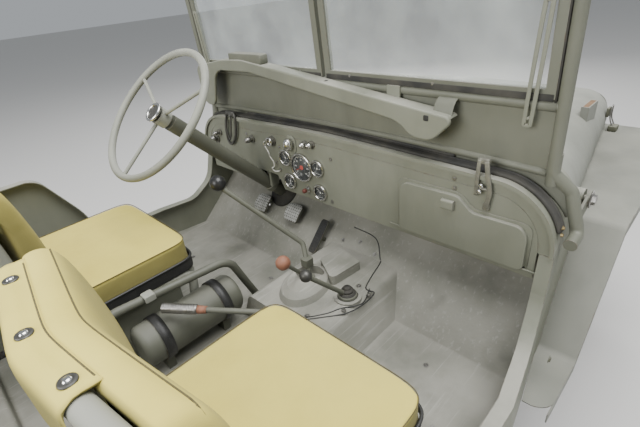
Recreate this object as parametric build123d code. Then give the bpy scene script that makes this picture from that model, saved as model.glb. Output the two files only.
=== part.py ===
"""Army 4x4 open car, built as separate named pieces in one frame.

X runs forward, Y to the driver's left and Z up, in millimetres. The origin is on the ground,
in the middle of the vehicle's length and width.
"""

import math
import os

from build123d import *

# Whole vehicle
WIDTH = 1575
WHEELBASE = 2032
FRONT_AXLE_X = 1130.5
REAR_AXLE_X = FRONT_AXLE_X - WHEELBASE
SHEET = 3  # thickness of the pressed steel panels

# Wheels
WHEEL_Z = 362
LUG_TIP = 361.3  # the tyre's radius over its lugs, less a hair of sag
TYRE_FACETS = 30  # a lug stands on every facet, right and left in turn
WHEEL_Y = 622
KINGPIN_Y = 530

# Body tub
REAR_X = -1463
TUB_HALF = 745
TAPER_START_X, DASH_X = 120, 390  # the tub narrows from the first to the second
COWL_HALF = 700
COWL_FRONT_X, COWL_FRONT_HALF = 608, 682
SIDE_TOP_Z = 965
SIDE_BOTTOM_Z = 500
SILL_Z = 672
FLANGE = 32  # width of the turned-in edge round the tub's rim
FLOOR_Z = 535
TOE_X = 296
REAR_FLOOR_X, REAR_FLOOR_Z = -600, 600
FIREWALL_X = 596
CROWN_Z, SHOULDER_Z, SHOULDER_RADIUS = 1045, 1024, 150
COWL_SIDE_Z = 868  # where the cowl's hoop meets the side panels
HOUSE_X, HOUSE_Y, HOUSE_Z = -518, 505, 776  # the rear wheel housings' front, inner and top faces
ARCH_RADIUS = 402

# Transmission tunnel
TUNNEL_RIGHT_Y, TUNNEL_LEFT_Y = -334, 62
TUNNEL_TOP_RIGHT_Y, TUNNEL_TOP_LEFT_Y = -272, 12
TUNNEL_TOP_Z = 640
TUNNEL_REAR_X = 24

# Front end
FENDER_TOP_Z = 845
FENDER_HALF = WIDTH / 2
STEP_Z = 556
HOOD_REAR_X, HOOD_FRONT_X = 614, 1486
GRILLE_X = 1492
HOOD_REAR_HALF, HOOD_FRONT_HALF = 664, 536
HOOD_FRONT_CROWN_Z = 985
HOOD_BOTTOM_Z = 852
BLOCK_TOP_Z = 1014
SPARE = (-330, 842)  # Y and Z of the spare wheel's centre
SPARE_X = -1584.5

# Windshield
WIND_LEAN = 3
WIND_X, WIND_Z = 436, 1053
WIND_HALF = 652
WIND_HEIGHT = 548
WIND_TUBE = 13
MID_RAIL = 142
WIND_PIVOT = (536, 958)  # X and Z of the fold axis
FOOT_Y, FOOT_RADIUS = 722, 14.5  # the bent foot below each upright
# The holder's front face: Y and Z of its corners, and the radius of each bend
TRAY_X, TRAY_DEPTH = 371, 43
TRAY_FACE = [
    (-450, 1156, 14), (340, 1249, 200), (460, 1243, 200), (628, 1214, 30),
    (622, 1074, 44), (548, 1066, 40), (504, 1206, 60), (300, 1210, 120), (-290, 1129, 90), (-330, 1094, 60),
    (-388, 1092, 50),
]

# Steering
HUB = (35, 331, 1158)
COLUMN_END = (650, 331, 543)
STEERING_RADIUS = 219
COLUMN_RADIUS = 25

# Dash and its instruments: centre Y and Z, radius of the case
GAUGES = [(107, 907, 47), (185, 927, 26), (174, 841, 26), (27, 834, 26), (32, 920, 26)]
SWITCHES = [(247, 978, 13), (365, 965, 10), (577, 957, 8), (609, 926, 14), (86, 831, 7)]
HOODED_LAMPS = [(147, 985, 15), (80, 995, 10), (48, 1000, 10)]
DASH_BOTTOM_Z = 794
COLUMN_NOTCH = [(428, 780), (428, 846), (246, 846), (231, 828), (210, 780)]  # Y and Z
# The glovebox door, with its stepped top edge: Y and Z of its corners, and the radius of each bend
GLOVEBOX_DOOR = [
    (-294, 812, 12), (-294, 963, 32), (-466, 963, 34), (-506, 928, 34), (-641, 928, 34), (-641, 812, 16),
]
GLOVEBOX_GAP = 5  # between the door's edge and the opening's
GLOVEBOX_HINGE = (DASH_X - 6, 814)  # X and Z of the door's hinge pin

PEDALS = [(398, 385, 684), (402, 205, 692)]  # the pads' centres
PEDAL_SLOT_X, PEDAL_SLOT_Z = 428, 648  # where the pedals' arms pass the toe board
TREADLE = (370, 43, 661)
LEVER_HUMP = (160, -98)  # X and Y of the hump on the tunnel that the levers come out of
LEVER_HOLE = (191, -91)
LEVER_RING = (203, -232)  # the round boot of the outer lever

# Seats
DRIVER_Y, PASSENGER_Y = 354, -440
CUSHION_FRONT_X, CUSHION_REAR_X = -52, -452
CUSHION_TOP_Z, CUSHION_THICK = 830, 86
CUSHION_HALF = 208
SEAT_HALF = 200  # half the distance between a seat's side tubes
SEAT_TUBE = 14
SEAT_TOP_Z = 1160
SEAT_PIVOT = (-90, 582)  # X and Z of the pin that the passenger's seat tips on


def block(x0, x1, y0, y1, z0, z1):
    """A plain box between two corners."""
    centre = Pos((x0 + x1) / 2, (y0 + y1) / 2, (z0 + z1) / 2)
    return centre * Box(abs(x1 - x0), abs(y1 - y0), abs(z1 - z0))


def rod(start, end, radius):
    """A round bar from start to end."""
    a, b = Vector(*start), Vector(*end)
    return extrude(Plane(origin=a, z_dir=b - a) * Circle(radius), (b - a).length)


def tube(points, radius, bend):
    """A round bar carried along points, with its corners bent."""
    path = FilletPolyline(*points, radius=bend)
    return sweep(Plane(origin=path @ 0, z_dir=path % 0) * Circle(radius), path)


def outline(points, radius=None):
    """A flat face inside points, with its corners rounded where a radius is given."""
    if radius is None:
        return make_face(Polyline(*points, close=True))
    return make_face(FilletPolyline(*points, radius=radius, close=True))


def bent_face(table, x):
    """A flat face square to X. Each row of the table is a corner's Y and Z, and its bend's radius."""
    return outline([(x, y, z) for y, z, _ in table], [bend for _, _, bend in table])


def side_plate(points, y0, y1, radius=None):
    """A shape drawn in X and Z, carried across from y0 to y1."""
    return extrude(outline([(x, y0, z) for x, z in points], radius), y1 - y0, dir=(0, 1, 0))


def cross_plate(points, x0, x1, radius=None):
    """A shape drawn in Y and Z, carried forward from x0 to x1."""
    return extrude(outline([(x0, y, z) for y, z in points], radius), x1 - x0, dir=(1, 0, 0))


def flat_plate(points, z0, z1, radius=None):
    """A shape drawn in plan, carried up from z0 to z1."""
    return extrude(outline([(x, y, z0) for x, y in points], radius), z1 - z0, dir=(0, 0, 1))


def bent_sheet(points, y0, y1, bend, thick=SHEET, side=Side.LEFT):
    """A sheet bent along points in X and Z, as wide as y0 to y1."""
    line = FilletPolyline(*[(x, y0, z) for x, z in points], radius=bend)
    edge = Wire(line.edges()).offset_2d(thick, side=side, closed=True)
    return extrude(make_face(edge.edges()), y1 - y0, dir=(0, 1, 0))


def twin(shape):
    """The same shape on the other side of the vehicle."""
    return mirror(shape, Plane.XZ)


def group(*shapes):
    """Separate solids that share one node."""
    return Compound(children=[solid for shape in shapes for solid in shape.solids()])


def turned(points, centre, axis):
    """A solid of revolution: points are (distance along the axis, radius)."""
    face = make_face(Polyline(*[(a, r) for a, r in points], close=True))
    solid = revolve(face, axis=Axis.X)
    plane = Plane(origin=centre, x_dir=axis, z_dir=Vector(axis).cross(Vector(0.3, 0.2, 1)).normalized())
    return plane * solid


def hoop(x, half, crown, shoulder, radius, bottom, inset=0):
    """The cross-section of cowl or hood: a crowned top on rounded shoulders."""
    points = [
        (x, -(half - inset), bottom),
        (x, -(half - inset), shoulder - inset),
        (x, 0, crown - inset),
        (x, half - inset, shoulder - inset),
        (x, half - inset, bottom),
    ]
    return outline(points, [0, radius - inset, 4000, radius - inset, 0])


def tub_plan(inset):
    """The tub's left half in plan, from rear to front, inset from its outer face."""
    return [
        (REAR_X, TUB_HALF - inset),
        (TAPER_START_X, TUB_HALF - inset),
        (DASH_X, COWL_HALF - inset),
        (COWL_FRONT_X, COWL_FRONT_HALF - inset),
    ]


# Running gear


def make_rail():
    """The left frame rail: a box girder that is lower amidships and narrower in front."""
    side = [
        (-1478, 450), (-1100, 470), (-700, 470), (-480, 430), (650, 430), (760, 452), (1593, 480),
        (1593, 560), (760, 548), (650, 520), (-480, 520), (-610, 526), (-740, 560), (-1478, 560),
    ]
    profile = side_plate(side, 250, 420)
    plan = flat_plate([(-1478, 325), (500, 325), (700, 302), (1593, 302), (1593, 350), (700, 350),
                       (500, 372), (-1478, 372)], 400, 600)
    return profile & plan


def make_frame():
    """Two rails, their crossmembers, the rear bumperettes and the tow hook."""
    rail = make_rail()
    frame = rail + twin(rail)
    for x, half, z in [(1470, 310, 490), (-560, 335, 440), (-1120, 335, 485), (-1448, 335, 480)]:
        frame += block(x - 30, x + 30, -half, half, z, z + 60)
    hanger = block(300, 360, 325, 372, 318, 432)
    frame += block(300, 360, -372, 372, 318, 342) + hanger + twin(hanger)
    bumperette = block(-1604, -1440, 340, 366, 444, 470) + block(-1612, -1588, 340, 570, 384, 470)
    frame += bumperette + twin(bumperette)
    plate = block(-1486, -1477, -70, 70, 455, 555)
    shank = rod((-1480, 0, 505), (-1545, 0, 505), 18)
    hook = Pos(-1562, 0, 505) * Rot(90, 0, 0) * Torus(24, 9)
    return frame + plate + shank + hook


def make_front_bumper():
    """A channel bar with a gusset to each rail end."""
    bar = block(1600, 1663.5, -640, 640, 452, 578) - block(1599, 1657, -641, 641, 458, 572)
    gusset = flat_plate([(1500, 352), (1660, 352), (1660, 520), (1600, 500)], 560, 566)
    pad = block(1594, 1602, 302, 420, 454, 576)
    bar = bar - rod((1650, 150, 515), (1670, 150, 515), 14) - rod((1650, -150, 515), (1670, -150, 515), 14)
    return bar + gusset + twin(gusset) + pad + twin(pad)


def make_spring(axle_x):
    """A left leaf spring under the axle, with its clamp and its shackles up to the rail."""
    y0, y1 = (304, 346) if axle_x > 0 else (328, 370)
    spring = block(axle_x - 48, axle_x + 48, y0, y1, 288, 400)
    for n in range(5):
        reach = 440 - 85 * n
        middle = 320 - 6 * n
        rise = 50 * (reach / 440) ** 2
        line = [(axle_x - reach, middle + rise), (axle_x - reach / 2, middle + rise / 4), (axle_x, middle),
                (axle_x + reach / 2, middle + rise / 4), (axle_x + reach, middle + rise)]
        spring += bent_sheet(line, y0, y1, 300, 6)
    for end in (-440, 440):
        x = axle_x + end
        spring += rod((x, y0, 374), (x, y1, 374), 17)
        spring += block(x - 10, x + 10, y0, y1, 374, shackle_top(x))
    return spring


def shackle_top(x):
    """The underside of the frame rail above a spring's end."""
    if x > 1000:
        return 478
    if x > 0:
        return 435
    return 428 if x > -600 else 455


def make_axle(axle_x, end_y):
    """An axle tube with an offset differential, and its two leaf springs."""
    axle = rod((axle_x, -end_y, WHEEL_Z), (axle_x, end_y, WHEEL_Z), 36)
    ball = Pos(axle_x, -130, WHEEL_Z) * Sphere(112)
    nose = rod((axle_x, -130, WHEEL_Z), (axle_x - math.copysign(185, axle_x), -130, WHEEL_Z + 8), 52)
    axle = axle + ball + nose
    spring = make_spring(axle_x)
    return axle + spring + twin(spring)


def make_front_axle():
    """The front axle carries a hollow ball and kingpin studs at each end."""
    axle = make_axle(FRONT_AXLE_X, KINGPIN_Y)
    end = Pos(FRONT_AXLE_X, KINGPIN_Y - 8, WHEEL_Z) * Sphere(62)
    pin = rod((FRONT_AXLE_X, KINGPIN_Y, 268), (FRONT_AXLE_X, KINGPIN_Y, 456), 14)
    return axle + end + twin(end) + pin + twin(pin)


def make_rear_axle():
    """The rear axle has a backing plate and a spindle for each wheel."""
    axle = make_axle(REAR_AXLE_X, 560)
    plate = rod((REAR_AXLE_X, 548, WHEEL_Z), (REAR_AXLE_X, 562, WHEEL_Z), 125)
    spindle = rod((REAR_AXLE_X, 560, WHEEL_Z), (REAR_AXLE_X, 640, WHEEL_Z), 20)
    return axle + plate + twin(plate) + spindle + twin(spindle)


def make_knuckle():
    """The left knuckle: a yoke over the kingpin's ends, a backing plate and the wheel's spindle."""
    x = FRONT_AXLE_X
    upper = rod((x, KINGPIN_Y, 438), (x, KINGPIN_Y, 462), 34)
    lower = rod((x, KINGPIN_Y, 262), (x, KINGPIN_Y, 286), 34)
    eyes = upper + lower - rod((x, KINGPIN_Y, 250), (x, KINGPIN_Y, 470), 15)
    web = block(x - 24, x + 24, 548, 606, 266, 458) - rod((x, 530, WHEEL_Z), (x, 608, WHEEL_Z), 30)
    web -= Pos(x, KINGPIN_Y - 8, WHEEL_Z) * Sphere(72)
    plate = rod((x, 596, WHEEL_Z), (x, 604, WHEEL_Z), 125)
    spindle = rod((x, 598, WHEEL_Z), (x, 640, WHEEL_Z), 20)
    arm = block(x - 150, x - 15, 536, 560, 270, 286)
    return eyes + block(x - 24, x + 24, 530, 560, 440, 458) + block(x - 24, x + 24, 530, 560, 266, 284) \
        - rod((x, KINGPIN_Y, 250), (x, KINGPIN_Y, 470), 15) + web + plate + spindle + arm


def make_rim():
    """A pressed steel wheel about Y at the origin, outer face towards +Y."""
    barrel = [
        (-58, 219), (-58, 212), (-50, 206), (-38, 203), (-26, 190), (10, 190), (38, 203), (50, 206),
        (58, 212), (58, 219), (54, 219), (49, 211), (37, 207), (9, 194), (-25, 194), (-37, 207),
        (-49, 211), (-54, 219),
    ]
    disc = [(10, 192), (30, 168), (34, 120), (20, 84), (24, 60), (24, 23), (30, 23), (30, 60),
            (26, 82), (40, 118), (36, 172), (16, 193)]
    hub = [(-6, 23), (-6, 66), (24, 66), (24, 48), (58, 46), (70, 38), (72, 0), (62, 0), (62, 23)]
    drum = [(-6, 60), (-6, 132), (14, 132), (14, 60)]
    shape = turned(barrel, (0, 0, 0), (0, 1, 0)) + turned(disc, (0, 0, 0), (0, 1, 0))
    shape += turned(hub, (0, 0, 0), (0, 1, 0)) + turned(drum, (0, 0, 0), (0, 1, 0))
    for n in range(5):
        angle = math.radians(72 * n + 18)
        x, z = 48 * math.cos(angle), 48 * math.sin(angle)
        shape += rod((x, 28, z), (x, 44, z), 8)
    return shape


def faceted_ring(profile, facets):
    """A solid about Y, many-sided instead of round: the profile gives (Y, distance to a facet)."""
    sections = []
    for y, reach in profile:
        corner = reach / math.cos(math.pi / facets)
        angles = [2 * math.pi * (n + 0.5) / facets for n in range(facets)]
        sections.append(outline([(corner * math.sin(a), y, corner * math.cos(a)) for a in angles]))
    return loft(sections, ruled=True)


def make_tyre():
    """A tyre about Y at the origin: a faceted carcass, and bar lugs set right and left in turn."""
    carcass = [(-59, 226), (-77, 268), (-79, 300), (-60, 350), (60, 350), (79, 300), (77, 268), (59, 226)]
    tyre = faceted_ring(carcass, TYRE_FACETS) - faceted_ring([(-60, 219), (60, 219)], TYRE_FACETS)
    lug = block(-22, 22, 5, 70, 318, LUG_TIP)
    for n in range(TYRE_FACETS):
        tyre += Rot(0, 360 * n / TYRE_FACETS, 0) * (lug if n % 2 else twin(lug))
    return tyre


def make_engine():
    """Engine as one plain block, with the gearbox, transfer case and both propeller shafts."""
    engine = block(640, 1270, -160, 165, 480, 930)
    bell = block(560, 640, -130, 130, 470, 700)
    gearbox = block(220, 560, -80, 80, 420, 520)
    transfer = block(60, 240, -250, 90, 330, 512)
    front = rod((240, -190, 400), (938, -130, 372), 26)
    rear = rod((60, -190, 395), (-710, -130, 372), 26)
    return engine + bell + gearbox + transfer + front + rear


def make_exhaust():
    """A muffler under the right floor with its pipes."""
    muffler = rod((-300, -470, 452), (140, -470, 452), 62)
    pipe = tube([(140, -470, 452), (300, -470, 398), (540, -470, 398), (640, -250, 398), (700, -186, 500)], 22, 30)
    tail = tube([(-300, -470, 452), (-420, -470, 452), (-440, -700, 440)], 20, 40)
    return muffler + pipe + tail


def make_radiator():
    """A radiator core in a shallow frame, with a filler neck."""
    core = block(1385, 1430, -240, 240, 600, 900)
    frame = block(1378, 1437, -262, 262, 570, 935) - block(1370, 1440, -238, 238, 602, 898)
    return core + frame + rod((1405, 0, 930), (1405, 0, 958), 26)


# Body tub


def door_line():
    """The open air above the tub's side, as points and bend radii."""
    points = [
        (REAR_X - 60, SIDE_TOP_Z), (-262, SIDE_TOP_Z), (-166, 800), (-120, SILL_Z), (262, SILL_Z),
        (352, 738), (DASH_X - 2, 870), (DASH_X - 2, 1300), (REAR_X - 60, 1300),
    ]
    return points, [0, 70, 160, 60, 90, 110, 60, 0, 0]


def make_side():
    """The left side panel with its door opening, wheel arch and turned-in rim."""
    body = [
        (REAR_X, 560), (-1290, 560), (-1290, SIDE_BOTTOM_Z), (COWL_FRONT_X, SIDE_BOTTOM_Z),
        (COWL_FRONT_X, COWL_SIDE_Z - 1), (300, COWL_SIDE_Z - 1), (300, SIDE_TOP_Z), (REAR_X, SIDE_TOP_Z),
    ]
    profile = side_plate(body, 600, 800)
    points, bends = door_line()
    air = outline([(x, 600, z) for x, z in points], bends)
    opening = extrude(air, 200, dir=(0, 1, 0))
    wider = extrude(offset(air, SHEET), 200, dir=(0, 1, 0))
    arch = rod((REAR_AXLE_X, 600, WHEEL_Z), (REAR_AXLE_X, 800, WHEEL_Z), ARCH_RADIUS)
    arch_edge = rod((REAR_AXLE_X, 600, WHEEL_Z), (REAR_AXLE_X, 800, WHEEL_Z), ARCH_RADIUS + SHEET)
    skin = flat_plate(tub_plan(0) + tub_plan(SHEET)[::-1], 480, 1100)
    deep = flat_plate(tub_plan(0) + tub_plan(FLANGE)[::-1], 480, 1100)
    narrow = flat_plate(tub_plan(0) + tub_plan(22)[::-1], 480, 1100)
    solid = profile - opening - arch
    wall = skin & solid
    rim = (deep & (solid & wider)) - block(REAR_X - 5, REAR_X + SHEET + 1, 600, TUB_HALF - SHEET, 900, 1100)
    lip = narrow & (solid & arch_edge)
    side = wall + rim + lip
    for x in (-1280, -560):
        side += tube([(x, 743, 890), (x, 772, 890), (x + 150, 772, 890), (x + 150, 743, 890)], 7, 14)
    return side


def make_floor():
    """The floor, its tunnel, the toe board and the step up to the rear floor."""
    rise = FIREWALL_X - TOE_X
    line = [(REAR_X + 4, REAR_FLOOR_Z - SHEET), (REAR_FLOOR_X, REAR_FLOOR_Z - SHEET),
            (REAR_FLOOR_X, FLOOR_Z - SHEET), (TOE_X, FLOOR_Z - SHEET), (FIREWALL_X - 4, FLOOR_Z - SHEET + rise)]
    sheet = bent_sheet(line, -TUB_HALF, TUB_HALF, 12)
    inside = flat_plate(tub_plan(SHEET + 1) + [(x, -y) for x, y in tub_plan(SHEET + 1)[::-1]], 400, 1100)
    house = block(REAR_X - 5, HOUSE_X + 1, HOUSE_Y - 1, 800, 400, 1100)
    sheet = (sheet & inside) - house - twin(house)
    outer = [(TUNNEL_RIGHT_Y, FLOOR_Z - SHEET), (TUNNEL_TOP_RIGHT_Y, TUNNEL_TOP_Z),
             (TUNNEL_TOP_LEFT_Y, TUNNEL_TOP_Z), (TUNNEL_LEFT_Y, FLOOR_Z - SHEET)]
    inner = [(TUNNEL_RIGHT_Y + 4, FLOOR_Z - SHEET - 1), (TUNNEL_TOP_RIGHT_Y + 3, TUNNEL_TOP_Z - SHEET),
             (TUNNEL_TOP_LEFT_Y - 3, TUNNEL_TOP_Z - SHEET), (TUNNEL_LEFT_Y - 4, FLOOR_Z - SHEET - 1)]
    above = side_plate([(TUNNEL_REAR_X - 1, FLOOR_Z - SHEET), (TOE_X, FLOOR_Z - SHEET),
                        (TOE_X + 200, FLOOR_Z - SHEET + 200), (TUNNEL_REAR_X - 1, FLOOR_Z - SHEET + 200)], -400, 400)
    hill = cross_plate(outer, TUNNEL_REAR_X, 480, [0, 30, 30, 0]) & above
    hollow = cross_plate(inner, TUNNEL_REAR_X + SHEET, 480, [0, 27, 27, 0])
    floor = (sheet - hill) + (hill - hollow) + make_tunnel_covers()
    column_hole = rod((HUB[0], HUB[1], HUB[2]), COLUMN_END, 34)
    for _, y, _ in PEDALS:
        floor -= rod((PEDAL_SLOT_X - 40, y, PEDAL_SLOT_Z + 53), (PEDAL_SLOT_X + 20, y, PEDAL_SLOT_Z - 27), 13)
    return floor - column_hole


def ellipse_at(centre, z, half_length, half_width, turn=17):
    """A flat ellipse at a height, its long axis turned from X towards Y by some degrees."""
    return Pos(centre[0], centre[1], z) * Rot(0, 0, turn) * Ellipse(half_length, half_width)


def make_tunnel_covers():
    """What stands on the tunnel: the levers' hump with its oval hole, a ring and the gearbox cover."""
    top = TUNNEL_TOP_Z
    hump = loft([ellipse_at(LEVER_HUMP, top - 2, 100, 74), ellipse_at(LEVER_HUMP, top + 20, 90, 65)], ruled=True)
    hump += loft([ellipse_at(LEVER_HUMP, top + 20, 90, 65), ellipse_at(LEVER_HUMP, top + 34, 68, 46)], ruled=True)
    hump -= extrude(ellipse_at(LEVER_HOLE, top + 4, 44, 31, -50), 60)
    ring_centre = (LEVER_RING[0], LEVER_RING[1], top - 1)
    ring = Pos(*ring_centre) * Cylinder(42, 12) - Pos(*ring_centre) * Cylinder(31, 20)
    cover = flat_plate([(206, -166), (332, -180), (345, -78), (262, -66)], top - 2, top + 32, 14)
    return hump + ring + cover


def make_cowl():
    """The cowl's hooped top with a beaded rear edge, and the firewall inside its front edge."""
    outer = loft([hoop(DASH_X, COWL_HALF, CROWN_Z, SHOULDER_Z, SHOULDER_RADIUS, COWL_SIDE_Z),
                  hoop(COWL_FRONT_X, COWL_FRONT_HALF, CROWN_Z - 5, SHOULDER_Z - 5, SHOULDER_RADIUS, COWL_SIDE_Z)], ruled=True)
    inner = loft([hoop(DASH_X, COWL_HALF, CROWN_Z, SHOULDER_Z, SHOULDER_RADIUS, COWL_SIDE_Z, SHEET),
                  hoop(COWL_FRONT_X, COWL_FRONT_HALF, CROWN_Z - 5, SHOULDER_Z - 5, SHOULDER_RADIUS, COWL_SIDE_Z, SHEET)],
                 ruled=True)
    skin = outer - inner
    rear = (COWL_HALF, CROWN_Z, SHOULDER_Z, SHOULDER_RADIUS, COWL_SIDE_Z)
    bead = extrude(hoop(DASH_X - 11, *rear) - hoop(DASH_X - 11, *rear, 9), 7, dir=(1, 0, 0))
    bead += extrude(hoop(DASH_X - 5, *rear) - hoop(DASH_X - 5, *rear, SHEET), 5, dir=(1, 0, 0))
    skin += bead
    wall = cross_plate([(-676, 838), (676, 838), (676, COWL_SIDE_Z), (-676, COWL_SIDE_Z)], FIREWALL_X - SHEET, FIREWALL_X)
    top = block(FIREWALL_X - SHEET, FIREWALL_X, -700, 700, COWL_SIDE_Z - 1, 1100) & outer
    stud = rod((WIND_PIVOT[0], 670, WIND_PIVOT[1]), (WIND_PIVOT[0], 720, WIND_PIVOT[1]), 8)
    stud += rod((WIND_PIVOT[0], 670, WIND_PIVOT[1]), (WIND_PIVOT[0], 702, WIND_PIVOT[1]), 22)
    return skin + wall + top + stud + twin(stud)


def make_wheel_house():
    """The left rear wheel housing: inner wall, top and front wall."""
    x0, y1 = REAR_X + 4, TUB_HALF - SHEET - 1
    wall = block(x0, HOUSE_X, HOUSE_Y, HOUSE_Y + SHEET, 560, HOUSE_Z)
    top = block(x0, HOUSE_X, HOUSE_Y, y1, HOUSE_Z - SHEET, HOUSE_Z)
    front = block(HOUSE_X - SHEET, HOUSE_X, HOUSE_Y, y1, FLOOR_Z, HOUSE_Z)
    return wall + top + front


def make_rear_panel():
    """The rear panel with its turned-in top edge, and the spare wheel's bracket."""
    panel = block(REAR_X, REAR_X + SHEET, -TUB_HALF + 4, TUB_HALF - 4, 560, SIDE_TOP_Z)
    rim = block(REAR_X, REAR_X + FLANGE, -TUB_HALF + 34, TUB_HALF - 34, SIDE_TOP_Z - SHEET, SIDE_TOP_Z)
    y, z = SPARE
    plate = block(REAR_X - 8, REAR_X, y - 150, y + 150, z - 120, z + 90)
    arm = rod((REAR_X - 8, y, z), (SPARE_X - 30, y, z), 22)
    return panel + rim + plate + arm


def make_dash():
    """The dash panel with holes for gauges and switches, and the glovebox behind its opening."""
    rim = (COWL_HALF - 4, CROWN_Z - 4, SHOULDER_Z - 4, SHOULDER_RADIUS - 4)
    panel = extrude(hoop(DASH_X - SHEET, *rim, DASH_BOTTOM_Z), SHEET, dir=(1, 0, 0))
    groove = hoop(DASH_X - SHEET, *rim, DASH_BOTTOM_Z - 60, 30) - hoop(DASH_X - SHEET, *rim, DASH_BOTTOM_Z - 60, 33)
    panel -= extrude(groove, 1.2, dir=(1, 0, 0))
    for y, z, radius in GAUGES + SWITCHES:
        panel -= rod((DASH_X - 10, y, z), (DASH_X + 10, y, z), radius)
    flange = block(DASH_X, DASH_X + 20, -COWL_HALF + 60, COWL_HALF - 60, DASH_BOTTOM_Z, DASH_BOTTOM_Z + 3)
    panel += flange
    panel -= cross_plate(COLUMN_NOTCH, DASH_X - 10, DASH_X + 30, [0, 22, 12, 24, 0])
    for side in (-1, 1):
        panel -= block(DASH_X - 30, DASH_X + 5, side * 664, side * 710, 780, COWL_SIDE_Z)
    opening = offset(bent_face(GLOVEBOX_DOOR, DASH_X - 10), GLOVEBOX_GAP)
    case = Pos(10, 0, 0) * offset(opening, SHEET)
    inside = extrude(opening, 160, dir=(1, 0, 0))
    bin_walls = extrude(case, 153, dir=(1, 0, 0)) - inside
    return (panel - inside) + bin_walls + make_column_clamp()


def make_column_clamp():
    """The strap that holds the steering column, hung from the dash on two lugs."""
    axis = Vector(COLUMN_END[0] - HUB[0], 0, COLUMN_END[2] - HUB[2]).normalized()
    middle = Vector(414, HUB[1], HUB[2] - (414 - HUB[0]))
    ring = rod(tuple(middle - axis * 11), tuple(middle + axis * 11), COLUMN_RADIUS + 5)
    ring -= rod(HUB, COLUMN_END, COLUMN_RADIUS + 0.5)
    for y in (HUB[1] - 34, HUB[1] + 34):
        ring += block(DASH_X - 1, DASH_X + 34, y - 6, y + 6, 786, 866)
    return ring - rod(HUB, COLUMN_END, COLUMN_RADIUS + 0.5)


def make_instruments():
    """Gauges, switches and hooded lamps: each case fills its hole and its bezel laps the panel."""
    face = DASH_X - SHEET
    pieces = []
    for y, z, radius in GAUGES:
        case = rod((face - 1, y, z), (face + 42, y, z), radius - 0.5)
        bezel = rod((face - 7, y, z), (face, y, z), radius + 4) - rod((face - 9, y, z), (face - 3, y, z), radius - 3)
        pieces.append(case + bezel)
    for y, z, radius in SWITCHES:
        stem = rod((face - 16, y, z), (face + 30, y, z), radius - 0.5)
        pieces.append(stem + rod((face - 6, y, z), (face, y, z), radius + 5))
    for y, z, radius in HOODED_LAMPS:
        dome = Pos(face - 12, y, z) * Sphere(radius) & block(face - 40, face - 12, 0, 300, 900, 1100)
        lamp = rod((face - 12, y, z), (face, y, z), radius) + dome
        pieces.append(lamp + rod((face - 4, y, z), (face, y, z), radius + 3))
    return group(*pieces)


def make_glovebox_door():
    """The raised glovebox door, a dished plate that stands off its opening, with its hinge pin."""
    face = bent_face(GLOVEBOX_DOOR, DASH_X - 16)
    plate = extrude(face, 10, dir=(1, 0, 0))
    plate = fillet(plate.faces().sort_by(Axis.X)[0].outer_wire().edges(), 2.4)
    hollow = Pos(3, 0, 0) * extrude(offset(face, -SHEET), 8, dir=(1, 0, 0))
    latch = block(DASH_X - 28, DASH_X - 15, -461, -427, 924, 950)
    latch = fillet(latch.edges().filter_by(Axis.Y), 5)
    x, z = GLOVEBOX_HINGE
    ends = [y for y, _, _ in GLOVEBOX_DOOR]
    pin = rod((x, min(ends) - 31, z), (x, max(ends) + 36, z), 2.5)
    return (plate - hollow) + latch + pin


# Front end


def make_grille():
    """The grille: a hooped plate with nine slots, lamp openings and a flange turned back."""
    outer = hoop(GRILLE_X, 528, 976, 962, 70, 575)
    plate = extrude(outer, SHEET, dir=(1, 0, 0))
    core = extrude(hoop(GRILLE_X - 24, 525, 973, 959, 67, 574), 26, dir=(1, 0, 0))
    band = extrude(hoop(GRILLE_X - 24, 528, 976, 962, 70, 575), 25, dir=(1, 0, 0)) - core
    band = band & block(GRILLE_X - 50, GRILLE_X + 10, -600, 600, 575, 840)
    for n in range(9):
        y = (n - 4) * 61
        slot = [(y - 20, 640), (y + 20, 640), (y + 20, 930), (y - 20, 930)]
        if abs(n - 4) > 2:
            slot = [(y - 20, 610), (y + 20, 610), (y + 20, 690), (y - 20, 690)]
        plate -= cross_plate(slot, GRILLE_X - 5, GRILLE_X + 10, 18)
    for side in (-1, 1):
        plate -= rod((GRILLE_X - 5, side * 372, 806), (GRILLE_X + 10, side * 372, 806), 92)
        plate -= rod((GRILLE_X - 5, side * 440, 655), (GRILLE_X + 10, side * 440, 655), 42)
    foot = block(GRILLE_X - 40, GRILLE_X, 300, 350, 561, 578)
    return plate + band + foot + twin(foot)


def make_lamps():
    """Headlamps, marker lamps and tail lamps as separate solids."""
    shapes = []
    for side in (-1, 1):
        bucket = turned([(0, 0), (0, 40), (40, 70), (78, 84), (92, 84), (92, 80), (100, 60), (106, 30), (108, 0)],
                        (1388, side * 372, 806), (1, 0, 0))
        marker = turned([(0, 0), (0, 36), (40, 38), (52, 38), (58, 20), (60, 0)],
                        (1442, side * 440, 655), (1, 0, 0))
        tail = turned([(0, 0), (0, 34), (30, 36), (38, 24), (40, 0)], (REAR_X - 1, side * 660, 690), (-1, 0, 0))
        shapes += [bucket, marker, tail]
    drive = turned([(0, 0), (0, 22), (44, 46), (62, 46), (68, 24), (70, 0)], (1380, 655, 915), (1, 0, 0))
    drive += rod((1420, 655, FENDER_TOP_Z + 0.5), (1420, 655, 885), 10)
    shapes.append(drive)
    return group(*shapes)


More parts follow.
